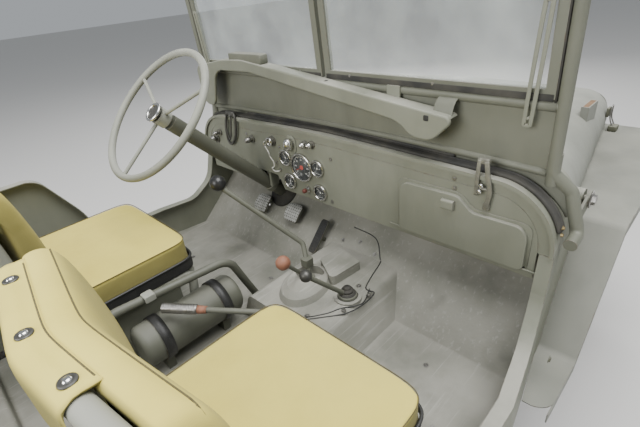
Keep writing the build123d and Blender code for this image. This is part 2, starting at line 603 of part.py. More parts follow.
def make_fender():
    """The left fender: flat top, turned-down edges, and a rear panel that runs down to the step."""
    line = [(1522, 742), (1490, FENDER_TOP_Z - SHEET), (668, FENDER_TOP_Z - SHEET),
            (431, STEP_Z - SHEET), (243, STEP_Z - SHEET)]
    sheet = bent_sheet(line, 400, FENDER_HALF, 30)
    plan = [
        (1530, 560), (1530, FENDER_HALF), (243, FENDER_HALF), (243, 729), (DASH_X, COWL_HALF + 1),
        (COWL_FRONT_X, COWL_FRONT_HALF + 1), (COWL_FRONT_X + 40, 620), (1480, 532), (1480, 560),
    ]
    top = sheet & flat_plate(plan, 400, 900, [0, 30, 45, 0, 0, 0, 0, 0, 0])
    edge_line = [(1522, 712), (1490, FENDER_TOP_Z - 30), (668, FENDER_TOP_Z - 30), (431, STEP_Z - 30), (243, STEP_Z - 30)]
    skirt = side_plate(line + edge_line[::-1], FENDER_HALF - SHEET, FENDER_HALF)
    return top + skirt


def make_hood():
    """The hood with its rounded shoulders, two wooden blocks and its side latches."""
    def skin(inset):
        return loft([hoop(HOOD_REAR_X, HOOD_REAR_HALF, CROWN_Z - 6, SHOULDER_Z - 6, 140, HOOD_BOTTOM_Z, inset),
                     hoop(HOOD_FRONT_X, HOOD_FRONT_HALF, HOOD_FRONT_CROWN_Z, HOOD_FRONT_CROWN_Z - 14, 100,
                          HOOD_BOTTOM_Z, inset)], ruled=True)

    hood = skin(0) - skin(SHEET)
    block_piece = block(1075, 1177, -556, -532, 940, BLOCK_TOP_Z) - skin(0)
    block_piece = block_piece.solids().sort_by(Axis.Z)[-1]
    return hood + block_piece + twin(block_piece)


# Windshield


def make_windshield():
    """Frame, sheet panel, two inner frames and glass in the frame's own leaning plane, feet and holder."""
    top = WIND_HEIGHT
    loop = tube([(0, -WIND_HALF, -34), (0, -WIND_HALF, top), (0, WIND_HALF, top), (0, WIND_HALF, -34)], WIND_TUBE, 62)
    mid = rod((0, -WIND_HALF, MID_RAIL), (0, WIND_HALF, MID_RAIL), 10)
    drop, rise = -8, 7
    edge = ThreePointArc((0, -WIND_HALF, drop), (0, 0, rise), (0, WIND_HALF, drop))
    bottom = sweep(Plane(origin=edge @ 0, z_dir=edge % 0) * Circle(7), edge)
    panel = cross_plate([(-WIND_HALF, drop), (0, rise), (WIND_HALF, drop), (WIND_HALF, MID_RAIL),
                         (-WIND_HALF, MID_RAIL)], -1.5, 1.5, [0, 4000, 0, 0, 0])
    frame = loop + mid + panel + bottom
    inner = None
    for side in (-1, 1):
        pane = block(-8, 8, side * 7, side * (WIND_HALF - 17), MID_RAIL + 14, top - 16)
        pane -= block(-9, 9, side * 27, side * (WIND_HALF - 37), MID_RAIL + 34, top - 36)
        inner = pane if inner is None else inner + pane
    glass = None
    for side in (-1, 1):
        pane = block(-2.5, 2.5, side * 27.5, side * (WIND_HALF - 37.5), MID_RAIL + 34.5, top - 36.5)
        glass = pane if glass is None else group(glass, pane)
    place = Pos(WIND_X, 0, WIND_Z) * Rot(0, -WIND_LEAN, 0)
    foot = make_foot()
    return place * (frame + inner) + foot + twin(foot), place * glass, make_tray()


def make_foot():
    """The left upright's foot: it bends outwards and back, and a flat tongue runs on to the pivot."""
    x, z = WIND_PIVOT
    foot = tube([(WIND_X, WIND_HALF, WIND_Z + 40), (WIND_X + 1, WIND_HALF, WIND_Z - 6), (456, 692, 1004),
                 (451, FOOT_Y, 908), (404, FOOT_Y, 902)], FOOT_RADIUS, 19)
    tongue = side_plate([(440, 900), (478, 912), (x, z - 20), (x, z + 20), (478, 952), (440, 944)], 708, 714)
    eye = rod((x, 708, z), (x, 716, z), 20)
    return foot + tongue + eye - rod((x, 690, z), (x, 740, z), 9)


def make_tray():
    """The long holder behind the panel: a pressed face with two lobes, a lip, a top and two straps."""
    face = bent_face(TRAY_FACE, TRAY_X)
    shell = extrude(face, TRAY_DEPTH, dir=(1, 0, 0))
    shell = fillet(shell.faces().sort_by(Axis.X)[0].outer_wire().edges(), 5)
    inner = offset(face, -SHEET)
    shell -= Pos(SHEET, 0, 0) * extrude(inner, TRAY_DEPTH, dir=(1, 0, 0))
    roof = [(-470, 1148), (340, 1243), (460, 1237), (640, 1206), (640, 1000), (-470, 1000)]
    shell -= cross_plate(roof, TRAY_X + 9, TRAY_X + TRAY_DEPTH + 5)
    rail_x = WIND_X - MID_RAIL * math.sin(math.radians(WIND_LEAN)) - 10
    for y, z0, z1 in ((200, 1184, 1230), (-250, 1176, 1206)):
        shell += block(rail_x - 6.4, rail_x - 0.4, y - 20, y + 20, z0, z1)
    return shell


# Cabin


def make_seat_frame(y, foot):
    """A tubular seat: legs, cushion frame, pan and bowed back. The front legs end at foot (X, Z)."""
    half = SEAT_HALF
    side = [foot, (-66, 730), (-440, 730), (-482, SEAT_TOP_Z - 14)]
    path = [(x, y - half, z) for x, z in side] + [(-510, y, SEAT_TOP_Z - 14)]
    path += [(x, y + half, z) for x, z in side[::-1]]
    frame = tube(path, SEAT_TUBE, 40)
    for ys in (y - half, y + half):
        frame += rod((-400, ys, 730), (-440, ys, 552), SEAT_TUBE - 2)
        frame += rod((-440, ys, FLOOR_Z + 0.5), (-440, ys, 556), SEAT_TUBE + 4)
    pan = block(-440, -68, y - half, y + half, 736, 740)
    cross = rod((-70, y - half, 728), (-70, y + half, 728), SEAT_TUBE - 2)
    back_plate = block(-476, -472, y - half, y + half, 900, 1060)
    return frame + pan + cross + back_plate


def make_driver_seat_frame():
    """The driver's seat is bolted down by a round flange under each leg."""
    frame = make_seat_frame(DRIVER_Y, (-92, FLOOR_Z + 4))
    for y in (DRIVER_Y - SEAT_HALF, DRIVER_Y + SEAT_HALF):
        frame += rod((-92, y, FLOOR_Z + 0.5), (-92, y, FLOOR_Z + 6), SEAT_TUBE + 12)
    return frame


def make_passenger_seat_frame():
    """The passenger's seat has a cross-pin through the foot of each front leg, which it tips on."""
    x, z = SEAT_PIVOT
    frame = make_seat_frame(PASSENGER_Y, SEAT_PIVOT)
    for y in (PASSENGER_Y - SEAT_HALF, PASSENGER_Y + SEAT_HALF):
        frame += rod((x, y - 17, z), (x, y + 17, z), SEAT_TUBE + 2)
        frame += rod((x, y - 30, z), (x, y + 30, z), 7)
    return frame


def make_seat_brackets():
    """Two ears on a foot for each front leg of the passenger's seat, bored for its pin."""
    x, z = SEAT_PIVOT
    pieces = []
    for y in (PASSENGER_Y - SEAT_HALF, PASSENGER_Y + SEAT_HALF):
        ears = block(x - 16, x + 16, y - 26, y + 26, FLOOR_Z + 0.5, z)
        ears += rod((x, y - 26, z), (x, y + 26, z), 16)
        ears -= block(x - 40, x + 40, y - 22, y + 22, FLOOR_Z + 5, z + 20)
        pieces.append(ears - rod((x, y - 30, z), (x, y + 30, z), 7.6))
    return pieces


def make_cushions(y):
    """A boxed seat cushion and a back pad, as two solids."""
    half = CUSHION_HALF
    seat = block(CUSHION_REAR_X + 26, CUSHION_FRONT_X, y - half, y + half, CUSHION_TOP_Z - CUSHION_THICK + 2, CUSHION_TOP_Z)
    seat = fillet(seat.edges(), 14)
    back = block(-36, 34, y - half + 24, y + half - 24, -150, 150)
    back = fillet(back.edges(), 16)
    back = Pos(-418, 0, 990) * Rot(0, -5, 0) * back
    return group(seat, back)


def make_rear_seat():
    """The rear bench: a tubular frame with its cushions."""
    frame = None
    for side in (-1, 1):
        y = side * 420
        bar = tube([(-700, y, 601), (-700, y, 745), (-1080, y, 745), (-1130, y, 1120)], SEAT_TUBE, 40)
        leg = rod((-1060, y, 745), (-1060, y, 601), SEAT_TUBE)
        frame = bar + leg if frame is None else frame + bar + leg
    frame += rod((-1129, -420, 1112), (-1129, 420, 1112), SEAT_TUBE)
    frame += block(-1080, -690, -420, 420, 750, 754)
    seat = fillet(block(-1040, -680, -402, 402, 756, 836).edges(), 14)
    back = fillet(block(-35, 35, -400, 400, -140, 140).edges(), 16)
    back = Pos(-1062, 0, 990) * Rot(0, -7, 0) * back
    return frame, group(seat, back)


def make_fuel_tank():
    """The fuel tank under the driver's seat."""
    tank = block(-420, -110, DRIVER_Y - 185, DRIVER_Y + 185, FLOOR_Z, 712)
    return fillet(tank.edges().filter_by(Axis.Y), 24) + rod((-330, DRIVER_Y + 120, 705), (-330, DRIVER_Y + 120, 724), 40)


def make_steering_wheel():
    """The rim, three rod spokes and a small hub, on the column's axis."""
    axis = Vector(HUB[0] - COLUMN_END[0], 0, HUB[2] - COLUMN_END[2]).normalized()
    plane = Plane(origin=HUB, x_dir=(0, 1, 0), z_dir=axis)
    rim = Torus(STEERING_RADIUS - 11, 11)
    hub = Pos(0, 0, -22) * Cylinder(27, 34) + Pos(0, 0, 0) * Cylinder(20, 14)
    wheel = rim + hub
    for n in range(3):
        angle = math.radians(90 + 120 * n)
        tip = ((STEERING_RADIUS - 11) * math.cos(angle), (STEERING_RADIUS - 11) * math.sin(angle), 0)
        wheel += rod((12 * math.cos(angle), 12 * math.sin(angle), -18), tip, 5.5)
    return plane * wheel


def make_pedal_pad():
    """A pressed pad about the origin, convex towards the foot at -X, with rounded corners."""
    shell = Pos(69, 0, 0) * Rot(90, 0, 0) * (Cylinder(76, 80) - Cylinder(67, 90))
    return shell & (Pos(-12, 0, 0) * extrude(Plane.YZ * RectangleRounded(72, 72, 18), 32))


def make_controls():
    """Steering column with its box, the three pedals and the three levers."""
    axis = Vector(HUB[0] - COLUMN_END[0], 0, HUB[2] - COLUMN_END[2]).normalized()
    start = Vector(*HUB) - axis * 52
    column = rod(COLUMN_END, tuple(start), COLUMN_RADIUS)
    box = side_plate([(612, 521), (652, 521), (700, 534), (700, 600), (612, 600)], 304, 362)
    pieces = [column + box]
    for x, y, z in PEDALS:
        pad = Pos(x, y, z) * Rot(0, 45, 0) * make_pedal_pad()
        arm = rod((x, y, z), (PEDAL_SLOT_X + 20, y, PEDAL_SLOT_Z - 27), 7)
        arm += rod((PEDAL_SLOT_X + 20, y, PEDAL_SLOT_Z - 27), (430, y, 540), 8)
        pieces.append(pad + arm)
    shaft = rod((430, 190, 540), (430, 400, 540), 12) + block(416, 444, 330, 366, 520.5, 540)
    pieces = [pieces[0], pieces[1] + pieces[2] + shaft]
    x, y, z = TREADLE
    treadle = Pos(x, y, z) * Rot(0, 45, 0) * (Pos(-4, 0, 0) * extrude(Plane.YZ * RectangleRounded(32, 128, 10), 8))
    pieces.append(treadle + rod(TREADLE, (x + 24.2, y, z - 24.2), 8))
    main = tube([(194, -84, 649), (206, -65, 692), (225, -35, 740), (83, 150, 950)], 8, 24) \
        + Pos(83, 150, 958) * Sphere(24)
    socket = block(191, 223, -80, -50, 678, 706)
    main += fillet(socket.edges().filter_by(Axis.Z), 6)
    # Each lever: X, Y and Z of its foot, the same of its knob, the knob's radius
    levers = [(188, -73, 650, 80, -110, 780, 21), (203, -232, 646, 77, -204, 780, 17)]
    for n, (x0, y0, z0, x1, y1, z1, knob) in enumerate(levers):
        lever = rod((x0, y0, z0), (x1, y1, z1), 6 + n) + Pos(x1, y1, z1) * Sphere(knob)
        if n == 0:
            main += lever + rod((193, -84, TUNNEL_TOP_Z + 4.5), (193, -84, TUNNEL_TOP_Z + 14), 17)
        else:
            boot = turned([(0, 0), (0, 30), (10, 28), (26, 12), (30, 0)], (x0, y0, TUNNEL_TOP_Z + 0.5), (0, 0, 1))
            pieces += [main, lever + boot]
    return group(*pieces)


def make_gap_fittings():
    """The guard tube between the seats, the strapped cylinder, a lever and the seat's brackets."""
    guard = tube([(-367, 112, 536), (-367, 112, 760), (10, 60, 760), (103, 84, 541)], 12, 60)
    guard += rod((103, 84, 535.5), (103, 84, 546), 20) + rod((-367, 112, 535.5), (-367, 112, 542), 24)
    bottle = fillet(rod((-303, 72, 640), (10, 72, 640), 61).edges(), 20)
    for x in (-240, -50):
        bottle += rod((x - 14, 72, 640), (x + 14, 72, 640), 64)
        bottle += block(x - 12, x + 12, 50, 94, FLOOR_Z + 0.5, 600)
    lever = tube([(-42, -175, 536), (-42, -175, 722), (-216, 48, 738)], 8, 30)
    lever += rod((-158, -26, 732.7), (-216, 48, 738), 13) + rod((-42, -175, 535.5), (-42, -175, 548), 30)
    return group(guard, bottle, lever, *make_seat_brackets())


def placed_wheel(shape, x, y):
    """A wheel or tyre moved to its axle end, outer face outwards."""
    if y < 0:
        shape = twin(shape)
    return Pos(x, y, WHEEL_Z) * shape


rim, tyre = make_rim(), make_tyre()
side = make_side()
knuckle = make_knuckle()
house = make_wheel_house()
fender = make_fender()
windshield, glass, tray = make_windshield()
rear_frame, rear_cushions = make_rear_seat()

parts = {
    "chassis_frame": make_frame(),
    "front_bumper": make_front_bumper(),
    "front_axle": make_front_axle(),
    "rear_axle": make_rear_axle(),
    "engine_and_drive": make_engine(),
    "exhaust": make_exhaust(),
    "radiator": make_radiator(),
    "knuckle_left": knuckle,
    "knuckle_right": twin(knuckle),
    "spare_rim": Pos(SPARE_X, SPARE[0], SPARE[1]) * Rot(0, 0, 90) * rim,
    "spare_tyre": Pos(SPARE_X, SPARE[0], SPARE[1]) * Rot(0, 0, 90) * tyre,
    "tub_floor": make_floor(),
    "cowl": make_cowl(),
    "side_left": side,
    "side_right": twin(side),
    "wheel_houses": group(house, twin(house)),
    "rear_panel": make_rear_panel(),
    "dash_panel": make_dash(),
    "instruments": make_instruments(),
    "glovebox_door": make_glovebox_door(),
    "grille": make_grille(),
    "lamps": make_lamps(),
    "fenders": group(fender, twin(fender)),
    "hood": make_hood(),
    "windshield_frame": windshield,
    "windshield_glass": glass,
    "holder_tray": tray,
    "driver_seat_frame": make_driver_seat_frame(),
    "driver_cushions": make_cushions(DRIVER_Y),
    "passenger_seat_frame": make_passenger_seat_frame(),
    "passenger_cushions": make_cushions(PASSENGER_Y),
    "rear_seat_frame": rear_frame,
    "rear_cushions": rear_cushions,
    "fuel_tank": make_fuel_tank(),
    "steering_wheel": make_steering_wheel(),
    "driver_controls": make_controls(),
    "gap_fittings": make_gap_fittings(),
}
for end, x in (("front", FRONT_AXLE_X), ("rear", REAR_AXLE_X)):
    for name, y in (("left", WHEEL_Y), ("right", -WHEEL_Y)):
        parts[f"{end}_{name}_rim"] = placed_wheel(rim, x, y)
        parts[f"{end}_{name}_tyre"] = placed_wheel(tyre, x, y)

os.makedirs("parts", exist_ok=True)
for name, shape in parts.items():
    export_step(shape, f"parts/{name}.step")
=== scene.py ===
# %% [markdown]
# # An open army car, seen over the passenger's seat
#
# The car's solids come from CAD as the frame: every panel, seat, lever and wheel is already in its
# place. This file gives them their finishes, adds the small things that CAD leaves out, and sets up
# the camera and the light. Lengths are in metres, X runs forward, Y to the driver's left and Z up.

import math

import bmesh
import bpy
import numpy as np
from mathutils import Matrix, Vector


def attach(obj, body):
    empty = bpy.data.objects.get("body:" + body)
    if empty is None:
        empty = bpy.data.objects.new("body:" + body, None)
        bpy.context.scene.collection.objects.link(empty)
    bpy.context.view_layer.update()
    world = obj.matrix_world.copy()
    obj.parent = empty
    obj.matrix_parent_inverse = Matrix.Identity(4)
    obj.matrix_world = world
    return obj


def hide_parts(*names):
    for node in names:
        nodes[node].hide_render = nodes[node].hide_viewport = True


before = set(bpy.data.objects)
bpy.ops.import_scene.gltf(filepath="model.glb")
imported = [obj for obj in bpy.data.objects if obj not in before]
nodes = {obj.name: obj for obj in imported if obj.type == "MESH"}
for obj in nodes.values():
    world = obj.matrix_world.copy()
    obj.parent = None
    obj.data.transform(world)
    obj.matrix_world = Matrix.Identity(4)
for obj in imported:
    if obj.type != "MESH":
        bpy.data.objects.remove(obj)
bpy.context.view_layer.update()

# %% [markdown]
# ## Camera
#
# The photograph was taken from above and behind the passenger's side, looking forward over the
# dash. The camera's place and its three axes were solved from straight edges of the dash, the
# seats and the fender, so they are written down as a matrix instead of being aimed at a point.

# %% Camera
CAMERA_PLACE = (-0.507, -0.8988, 1.4654)
CAMERA_RIGHT = (0.68723, -0.72082, -0.09017)
CAMERA_UP = (0.40632, 0.27852, 0.87025)
CAMERA_BACK = (-0.60218, -0.63470, 0.48429)
PHOTO_WIDTH = 640
FOCAL_PIXELS = 424.8
SENSOR_WIDTH = 36.0

camera = bpy.data.objects.new("camera", bpy.data.cameras.new("camera"))
bpy.context.collection.objects.link(camera)
camera.data.sensor_width = SENSOR_WIDTH
camera.data.lens = SENSOR_WIDTH * FOCAL_PIXELS / PHOTO_WIDTH
camera.data.clip_start = 0.02
axes = np.eye(4)
axes[:3, 0], axes[:3, 1], axes[:3, 2], axes[:3, 3] = CAMERA_RIGHT, CAMERA_UP, CAMERA_BACK, CAMERA_PLACE
camera.matrix_world = Matrix(axes.tolist())
bpy.context.scene.camera = camera
print("lens:", round(camera.data.lens, 2), "mm")

# %% [markdown]
# ## Floor and light
#
# A pale floor and large soft lamps keep the object readable from all sides. The photograph's light
# is broad and comes from above, so one large lamp hangs high over the car, and two weaker ones fill
# in from the front and from behind. Small bare lamps would draw hard shadows that it doesn't have.

# %% Floor and light
floor_mesh = bpy.data.meshes.new("studio_floor")
floor_mesh.from_pydata([(-30, -30, 0), (30, -30, 0), (30, 30, 0), (-30, 30, 0)], [], [(0, 1, 2, 3)])
studio_floor = bpy.data.objects.new("studio_floor", floor_mesh)
bpy.context.collection.objects.link(studio_floor)
floor_material = bpy.data.materials.new("studio_floor")
floor_material.use_nodes = True
floor_shader = floor_material.node_tree.nodes["Principled BSDF"]
floor_shader.inputs["Base Color"].default_value = (0.62, 0.61, 0.59, 1)
floor_shader.inputs["Roughness"].default_value = 0.9
studio_floor.data.materials.append(floor_material)

world = bpy.data.worlds.new("studio")
bpy.context.scene.world = world
world.use_nodes = True
world.node_tree.nodes["Background"].inputs["Color"].default_value = (0.9, 0.95, 1.0, 1)
world.node_tree.nodes["Background"].inputs["Strength"].default_value = 0.42


def soft_lamp(name, place, target, size, power):
    """A square area lamp at place that faces target."""
    lamp = bpy.data.objects.new(name, bpy.data.lights.new(name, "AREA"))
    lamp.data.size = size
    lamp.data.energy = power
    lamp.location = place
    lamp.rotation_euler = (Vector(target) - Vector(place)).to_track_quat("-Z", "Y").to_euler()
    bpy.context.collection.objects.link(lamp)


soft_lamp("sky", (0.5, -1.5, 5.5), (0.2, 0, 0.8), 4.0, 460)
soft_lamp("front_fill", (5.0, 3.0, 3.0), (0, 0, 0.7), 3.0, 140)
soft_lamp("rear_fill", (-4.8, 0.2, 2.8), (0, 0, 0.7), 3.0, 300)
print("lamps:", [lamp.name for lamp in bpy.data.lights])

# %% [markdown]
# ## Surfaces from arrays
#
# Every new piece below is a surface on a grid: rows run one way, columns the other, and each cell
# of the grid becomes one quad. A turned piece, a bent tube and a cushion's seam are all the same
# thing with another formula for the points, so one function turns any such grid into a mesh. Blender's
# own curves and primitives could do much of it, but a formula keeps every measure in plain sight.

# %% Shells into pieces
added_pieces = {}


def stack_shells(shells):
    """Several shells, each (points, faces), as one: corner numbers move on by the points before them."""
    points, faces, start = [], [], 0
    for shell_points, shell_faces in shells:
        points.append(np.asarray(shell_points, dtype=float).reshape(-1, 3))
        faces += [[corner + start for corner in face] for face in shell_faces]
        start += len(points[-1])
    return np.concatenate(points), faces


def mesh_piece(name, shells, material, body, smooth=True):
    """One piece made of shells, riding on a body. Points that coincide are welded, so that poles and
    seams close, and then the faces are turned outwards."""
    points, faces = stack_shells(shells)
    mesh = bpy.data.meshes.new(name)
    mesh.from_pydata(points.tolist(), [], faces)
    shape = bmesh.new()
    shape.from_mesh(mesh)
    bmesh.ops.remove_doubles(shape, verts=shape.verts, dist=2e-6)
    bmesh.ops.recalc_face_normals(shape, faces=shape.faces)
    shape.to_mesh(mesh)
    shape.free()
    mesh.polygons.foreach_set("use_smooth", np.full(len(mesh.polygons), smooth))
    mesh.materials.append(material)
    piece = bpy.data.objects.new(name, mesh)
    bpy.context.collection.objects.link(piece)
    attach(piece, body)
    added_pieces[name] = len(mesh.polygons)
    return piece


print("pieces so far:", len(added_pieces))

# %% [markdown]
# The faces of a grid follow one rule: the four corners of each cell, numbered row by row. Where the
# surface closes on itself, the last row or column is joined to the first. A loop could list them cell
# by cell, but an index grid gives all the numbers at once.

# %% Faces of a grid


def grid_faces(rows, columns, close_rows=False, close_columns=False):
    """Quads between neighbouring rows and columns, wrapped round where the surface closes."""
    r = np.arange(rows if close_rows else rows - 1)
    c = np.arange(columns if close_columns else columns - 1)
    r, c = np.meshgrid(r, c, indexing="ij")
    r2, c2 = (r + 1) % rows, (c + 1) % columns
    quads = np.stack([r * columns + c, r * columns + c2, r2 * columns + c2, r2 * columns + c], axis=-1)
    return quads.reshape(-1, 4).tolist()


print("quads on a closed grid of 4 by 6:", len(grid_faces(4, 6, True, True)))

# %% [markdown]
# Knobs, rims, bolts and lamp glasses are round about an axis, so they are turned: a profile gives the
# distances along the axis and out from it, and a full circle carries it round. Blender's Screw
# modifier does the same about an object's own axis, but these axes point many ways.

# %% Turned shells


def unit(vector):
    """The vector, or each row of an array of them, divided by its length."""
    vector = np.asarray(vector, dtype=float)
    return vector / np.linalg.norm(vector, axis=-1, keepdims=True)


def cross_axes(axis):
    """Two unit vectors square to an axis and to each other."""
    axis = unit(axis)
    helper = np.array([0.0, 0.0, 1.0]) if abs(axis[2]) < 0.9 else np.array([0.0, 1.0, 0.0])
    first = unit(np.cross(helper, axis))
    return first, np.cross(axis, first)


def turned_shell(profile, centre, axis, sides=32, ring=False):
    """A turned shell: point = centre + along * axis + radius * (cos a * first + sin a * second). The
    profile lists (along, radius). It starts and ends on the axis, or closes on itself as a ring."""
    profile = np.asarray(profile, dtype=float)
    first, second = cross_axes(axis)
    angle = np.linspace(0, 2 * np.pi, sides, endpoint=False)
    circle = np.cos(angle)[:, None] * first + np.sin(angle)[:, None] * second
    points = np.asarray(centre) + profile[:, 0, None, None] * unit(axis) + profile[:, 1, None, None] * circle
    return points.reshape(-1, 3), grid_faces(len(profile), sides, close_rows=ring, close_columns=True)


drum_points, drum_faces = turned_shell([(0, 0), (0, 1), (1, 1), (1, 0)], (0, 0, 0), (0, 0, 1), 8)
print("a turned drum:", len(drum_points), "points and", len(drum_faces), "faces")

# %% [markdown]
# Straps, seams, wires and seals are one section carried along a path. The path is a smooth curve
# through a few stops, and the section is a circle or a flattened one. A bevelled curve object could do
# it, but its twist is hard to steer, and here a reference direction fixes it.

# %% Carried sections


def smooth_path(stops, count=60, ring=False):
    """A curve through the stops. Between two stops a and b with slopes p and q, and u from 0 to 1:
    a(1+2u)(1-u)^2 + p u(1-u)^2 + b u^2(3-2u) + q u^2(u-1)."""
    stops = np.asarray(stops, dtype=float)
    if ring:
        slope = (np.roll(stops, -1, axis=0) - np.roll(stops, 1, axis=0)) / 2
        stops, slope = np.vstack([stops, stops[:1]]), np.vstack([slope, slope[:1]])
    else:
        slope = np.gradient(stops, axis=0)
    t = np.linspace(0, len(stops) - 1, count, endpoint=not ring)
    i = np.minimum(t.astype(int), len(stops) - 2)
    u = (t - i)[:, None]
    return (stops[i] * (1 + 2 * u) * (1 - u) ** 2 + slope[i] * u * (1 - u) ** 2
            + stops[i + 1] * u * u * (3 - 2 * u) + slope[i + 1] * u * u * (u - 1))


def round_section(radius, sides=12):
    """A circle as a section."""
    angle = np.linspace(0, 2 * np.pi, sides, endpoint=False)
    return radius * np.stack([np.cos(angle), np.sin(angle)], axis=-1)


def flat_section(width, thick, sides=20, power=0.35):
    """A flat strap's section: a circle's cosine and sine raised to a low power, which squares it."""
    circle = round_section(1.0, sides)
    return np.sign(circle) * np.abs(circle) ** power * np.array([width / 2, thick / 2])


def swept_shell(path, section, reference=(0, 0, 1), ring=False):
    """A section (s, t) carried along a path: point = path + s * side + t * up, where side is square to
    the path and to the reference, and up is square to both. Open ends close on the path."""
    path, section = np.asarray(path, dtype=float), np.asarray(section, dtype=float)
    ahead = np.roll(path, -1, axis=0) - np.roll(path, 1, axis=0) if ring else np.gradient(path, axis=0)
    along = unit(ahead)
    side = unit(np.cross(along, np.asarray(reference, dtype=float)))
    up = np.cross(side, along)
    across = section[None, :, :1] * side[:, None] + section[None, :, 1:] * up[:, None]
    grid = path[:, None] + across
    if not ring:
        ends = [np.repeat(path[n][None, None], len(section), axis=1) for n in (0, -1)]
        grid = np.concatenate([ends[0], grid, ends[1]])
    return grid.reshape(-1, 3), grid_faces(len(grid), len(section), close_rows=ring, close_columns=True)


bend = smooth_path([(0, 0, 0), (1, 0, 0), (1, 1, 0)], 41)
print("a bend's length:", round(float(np.linalg.norm(np.diff(bend, axis=0), axis=1).sum()), 3))

# %% [markdown]
# Small brackets and plates are boxes with soft edges, and a bolt is a six-sided turned head on its
# washer. A cube with a Bevel modifier would do for one box, but a formula puts several in one mesh.

# %% Boxes and bolts


def box_shell(low, high, power=0.25, rows=13, columns=28):
    """A box with rounded edges: a sphere whose cosines and sines are raised to a low power."""
    low, high = np.asarray(low, dtype=float), np.asarray(high, dtype=float)
    v = np.linspace(-np.pi / 2, np.pi / 2, rows)[:, None]
    u = np.linspace(0, 2 * np.pi, columns, endpoint=False)[None]

    def flat(value):
        return np.sign(value) * np.abs(value) ** power

    ones = np.ones_like(u)
    ball = np.stack([flat(np.cos(v)) * flat(np.cos(u)), flat(np.cos(v)) * flat(np.sin(u)),
                     flat(np.sin(v)) * ones], axis=-1)
    points = (low + high) / 2 + ball * (high - low) / 2
    return points.reshape(-1, 3), grid_faces(rows, columns, close_columns=True)


def bolt_shells(places, axis, radius=0.006, height=0.004, sides=6):
    """A head with a chamfer and a washer at each place, standing out along the axis."""
    profile = [(0, 0), (0, radius * 1.5), (0.001, radius * 1.5), (0.001, radius), (height * 0.8, radius),
               (height, radius * 0.8), (height, 0)]
    return [turned_shell(profile, place, axis, sides) for place in places]


print("faces of a bolt:", len(bolt_shells([(0, 0, 0)], (0, 0, 1))[0][1]))

# %% [markdown]
# ## Finishes
#
# Old service paint is never one colour: large patches fade, dust lies on what faces up, and edges
# that hands and boots rub are worn to bare steel. One function builds that as a stack of layers, so
# the body, the floor, the fenders and the running gear are the same paint in other states. Every
# pattern reads Object coordinates, in metres, so it stays on the surface when a piece moves.

# %% Node helpers


def add_node(tree, kind, values=None, **settings):
    """Adds a shader node, sets its options and the default values of its named inputs."""
    node = tree.nodes.new(kind)
    for key, value in settings.items():
        setattr(node, key, value)
    for key, value in (values or {}).items():
        node.inputs[key].default_value = value
    return node


def start_material(name):
    """A new material: its tree, its shader and a node that gives Object coordinates."""
    material = bpy.data.materials.new(name)
    material.use_nodes = True
    tree = material.node_tree
    shader = tree.nodes["Principled BSDF"]
    coordinates = tree.nodes.new("ShaderNodeTexCoord").outputs["Object"]
    return material, tree, shader, coordinates


print("materials so far:", len(bpy.data.materials))

# %% [markdown]
# A finish is patterns and layers. A pattern is noise, spread until it has full patches with bare ones
# between them, and a layer is one colour mixed over another by a pattern. Where two patterns have to
# meet, such as dust only in patches and only on top, their factors are multiplied.

# %% Patterns and layers


def noise_factor(tree, coordinates, scale, detail=4.0, low=0.4, high=0.6, roughness=0.55, stretch=None):
    """A noise pattern spread so that low becomes 0 and high becomes 1."""
    if stretch is not None:
        mapping = add_node(tree, "ShaderNodeMapping", {"Scale": stretch})
        tree.links.new(coordinates, mapping.inputs["Vector"])
        coordinates = mapping.outputs["Vector"]
    noise = add_node(tree, "ShaderNodeTexNoise", {"Scale": scale, "Detail": detail, "Roughness": roughness})
    tree.links.new(coordinates, noise.inputs["Vector"])
    spread = add_node(tree, "ShaderNodeMapRange", {"From Min": low, "From Max": high})
    tree.links.new(noise.outputs["Fac"], spread.inputs["Value"])
    return spread.outputs["Result"]


def mix_colours(tree, factor, below, above):
    """One colour laid over another by a factor. Each colour is a value or a socket."""
    mix = add_node(tree, "ShaderNodeMix", data_type="RGBA")
    for socket, colour in ((mix.inputs[6], below), (mix.inputs[7], above)):
        if isinstance(colour, tuple):
            socket.default_value = (*colour, 1)
        else:
            tree.links.new(colour, socket)
    tree.links.new(factor, mix.inputs[0])
    return mix.outputs[2]


def join_factors(tree, first, second):
    """Two factors multiplied. The second may be a number."""
    joined = add_node(tree, "ShaderNodeMath", operation="MULTIPLY", use_clamp=True)
    tree.links.new(first, joined.inputs[0])
    if isinstance(second, float):
        joined.inputs[1].default_value = second
    else:
        tree.links.new(second, joined.inputs[1])
    return joined.outputs[0]


def bump_surface(tree, shader, height, strength, distance=0.001):
    """Raises the surface by a height pattern. The distance is in metres."""
    bump = add_node(tree, "ShaderNodeBump", {"Strength": strength, "Distance": distance})
    tree.links.new(height, bump.inputs["Height"])
    tree.links.new(bump.outputs["Normal"], shader.inputs["Normal"])


print("patterns and layers ready")

# %% [markdown]
# Two factors come from the shape itself. The Bevel node rounds the normal near an edge, and where it
# differs from the true normal, paint has been rubbed away. The normal's Z says how far a face looks up,
# which is where dust settles. Both could be painted by hand, but only with a seam plan for each piece.

# %% Edges and faces that look up


def edge_factor(tree, radius, low, high):
    """Where an edge is near: the normal rounded over a radius differs from the true one there."""
    rounded = add_node(tree, "ShaderNodeBevel", {"Radius": radius}, samples=6)
    true = tree.nodes.new("ShaderNodeNewGeometry")
    dot = add_node(tree, "ShaderNodeVectorMath", operation="DOT_PRODUCT")
    tree.links.new(rounded.outputs["Normal"], dot.inputs[0])
    tree.links.new(true.outputs["Normal"], dot.inputs[1])
    spread = add_node(tree, "ShaderNodeMapRange", {"From Min": 1 - low, "From Max": 1 - high})
    tree.links.new(dot.outputs["Value"], spread.inputs["Value"])
    return spread.outputs["Result"]


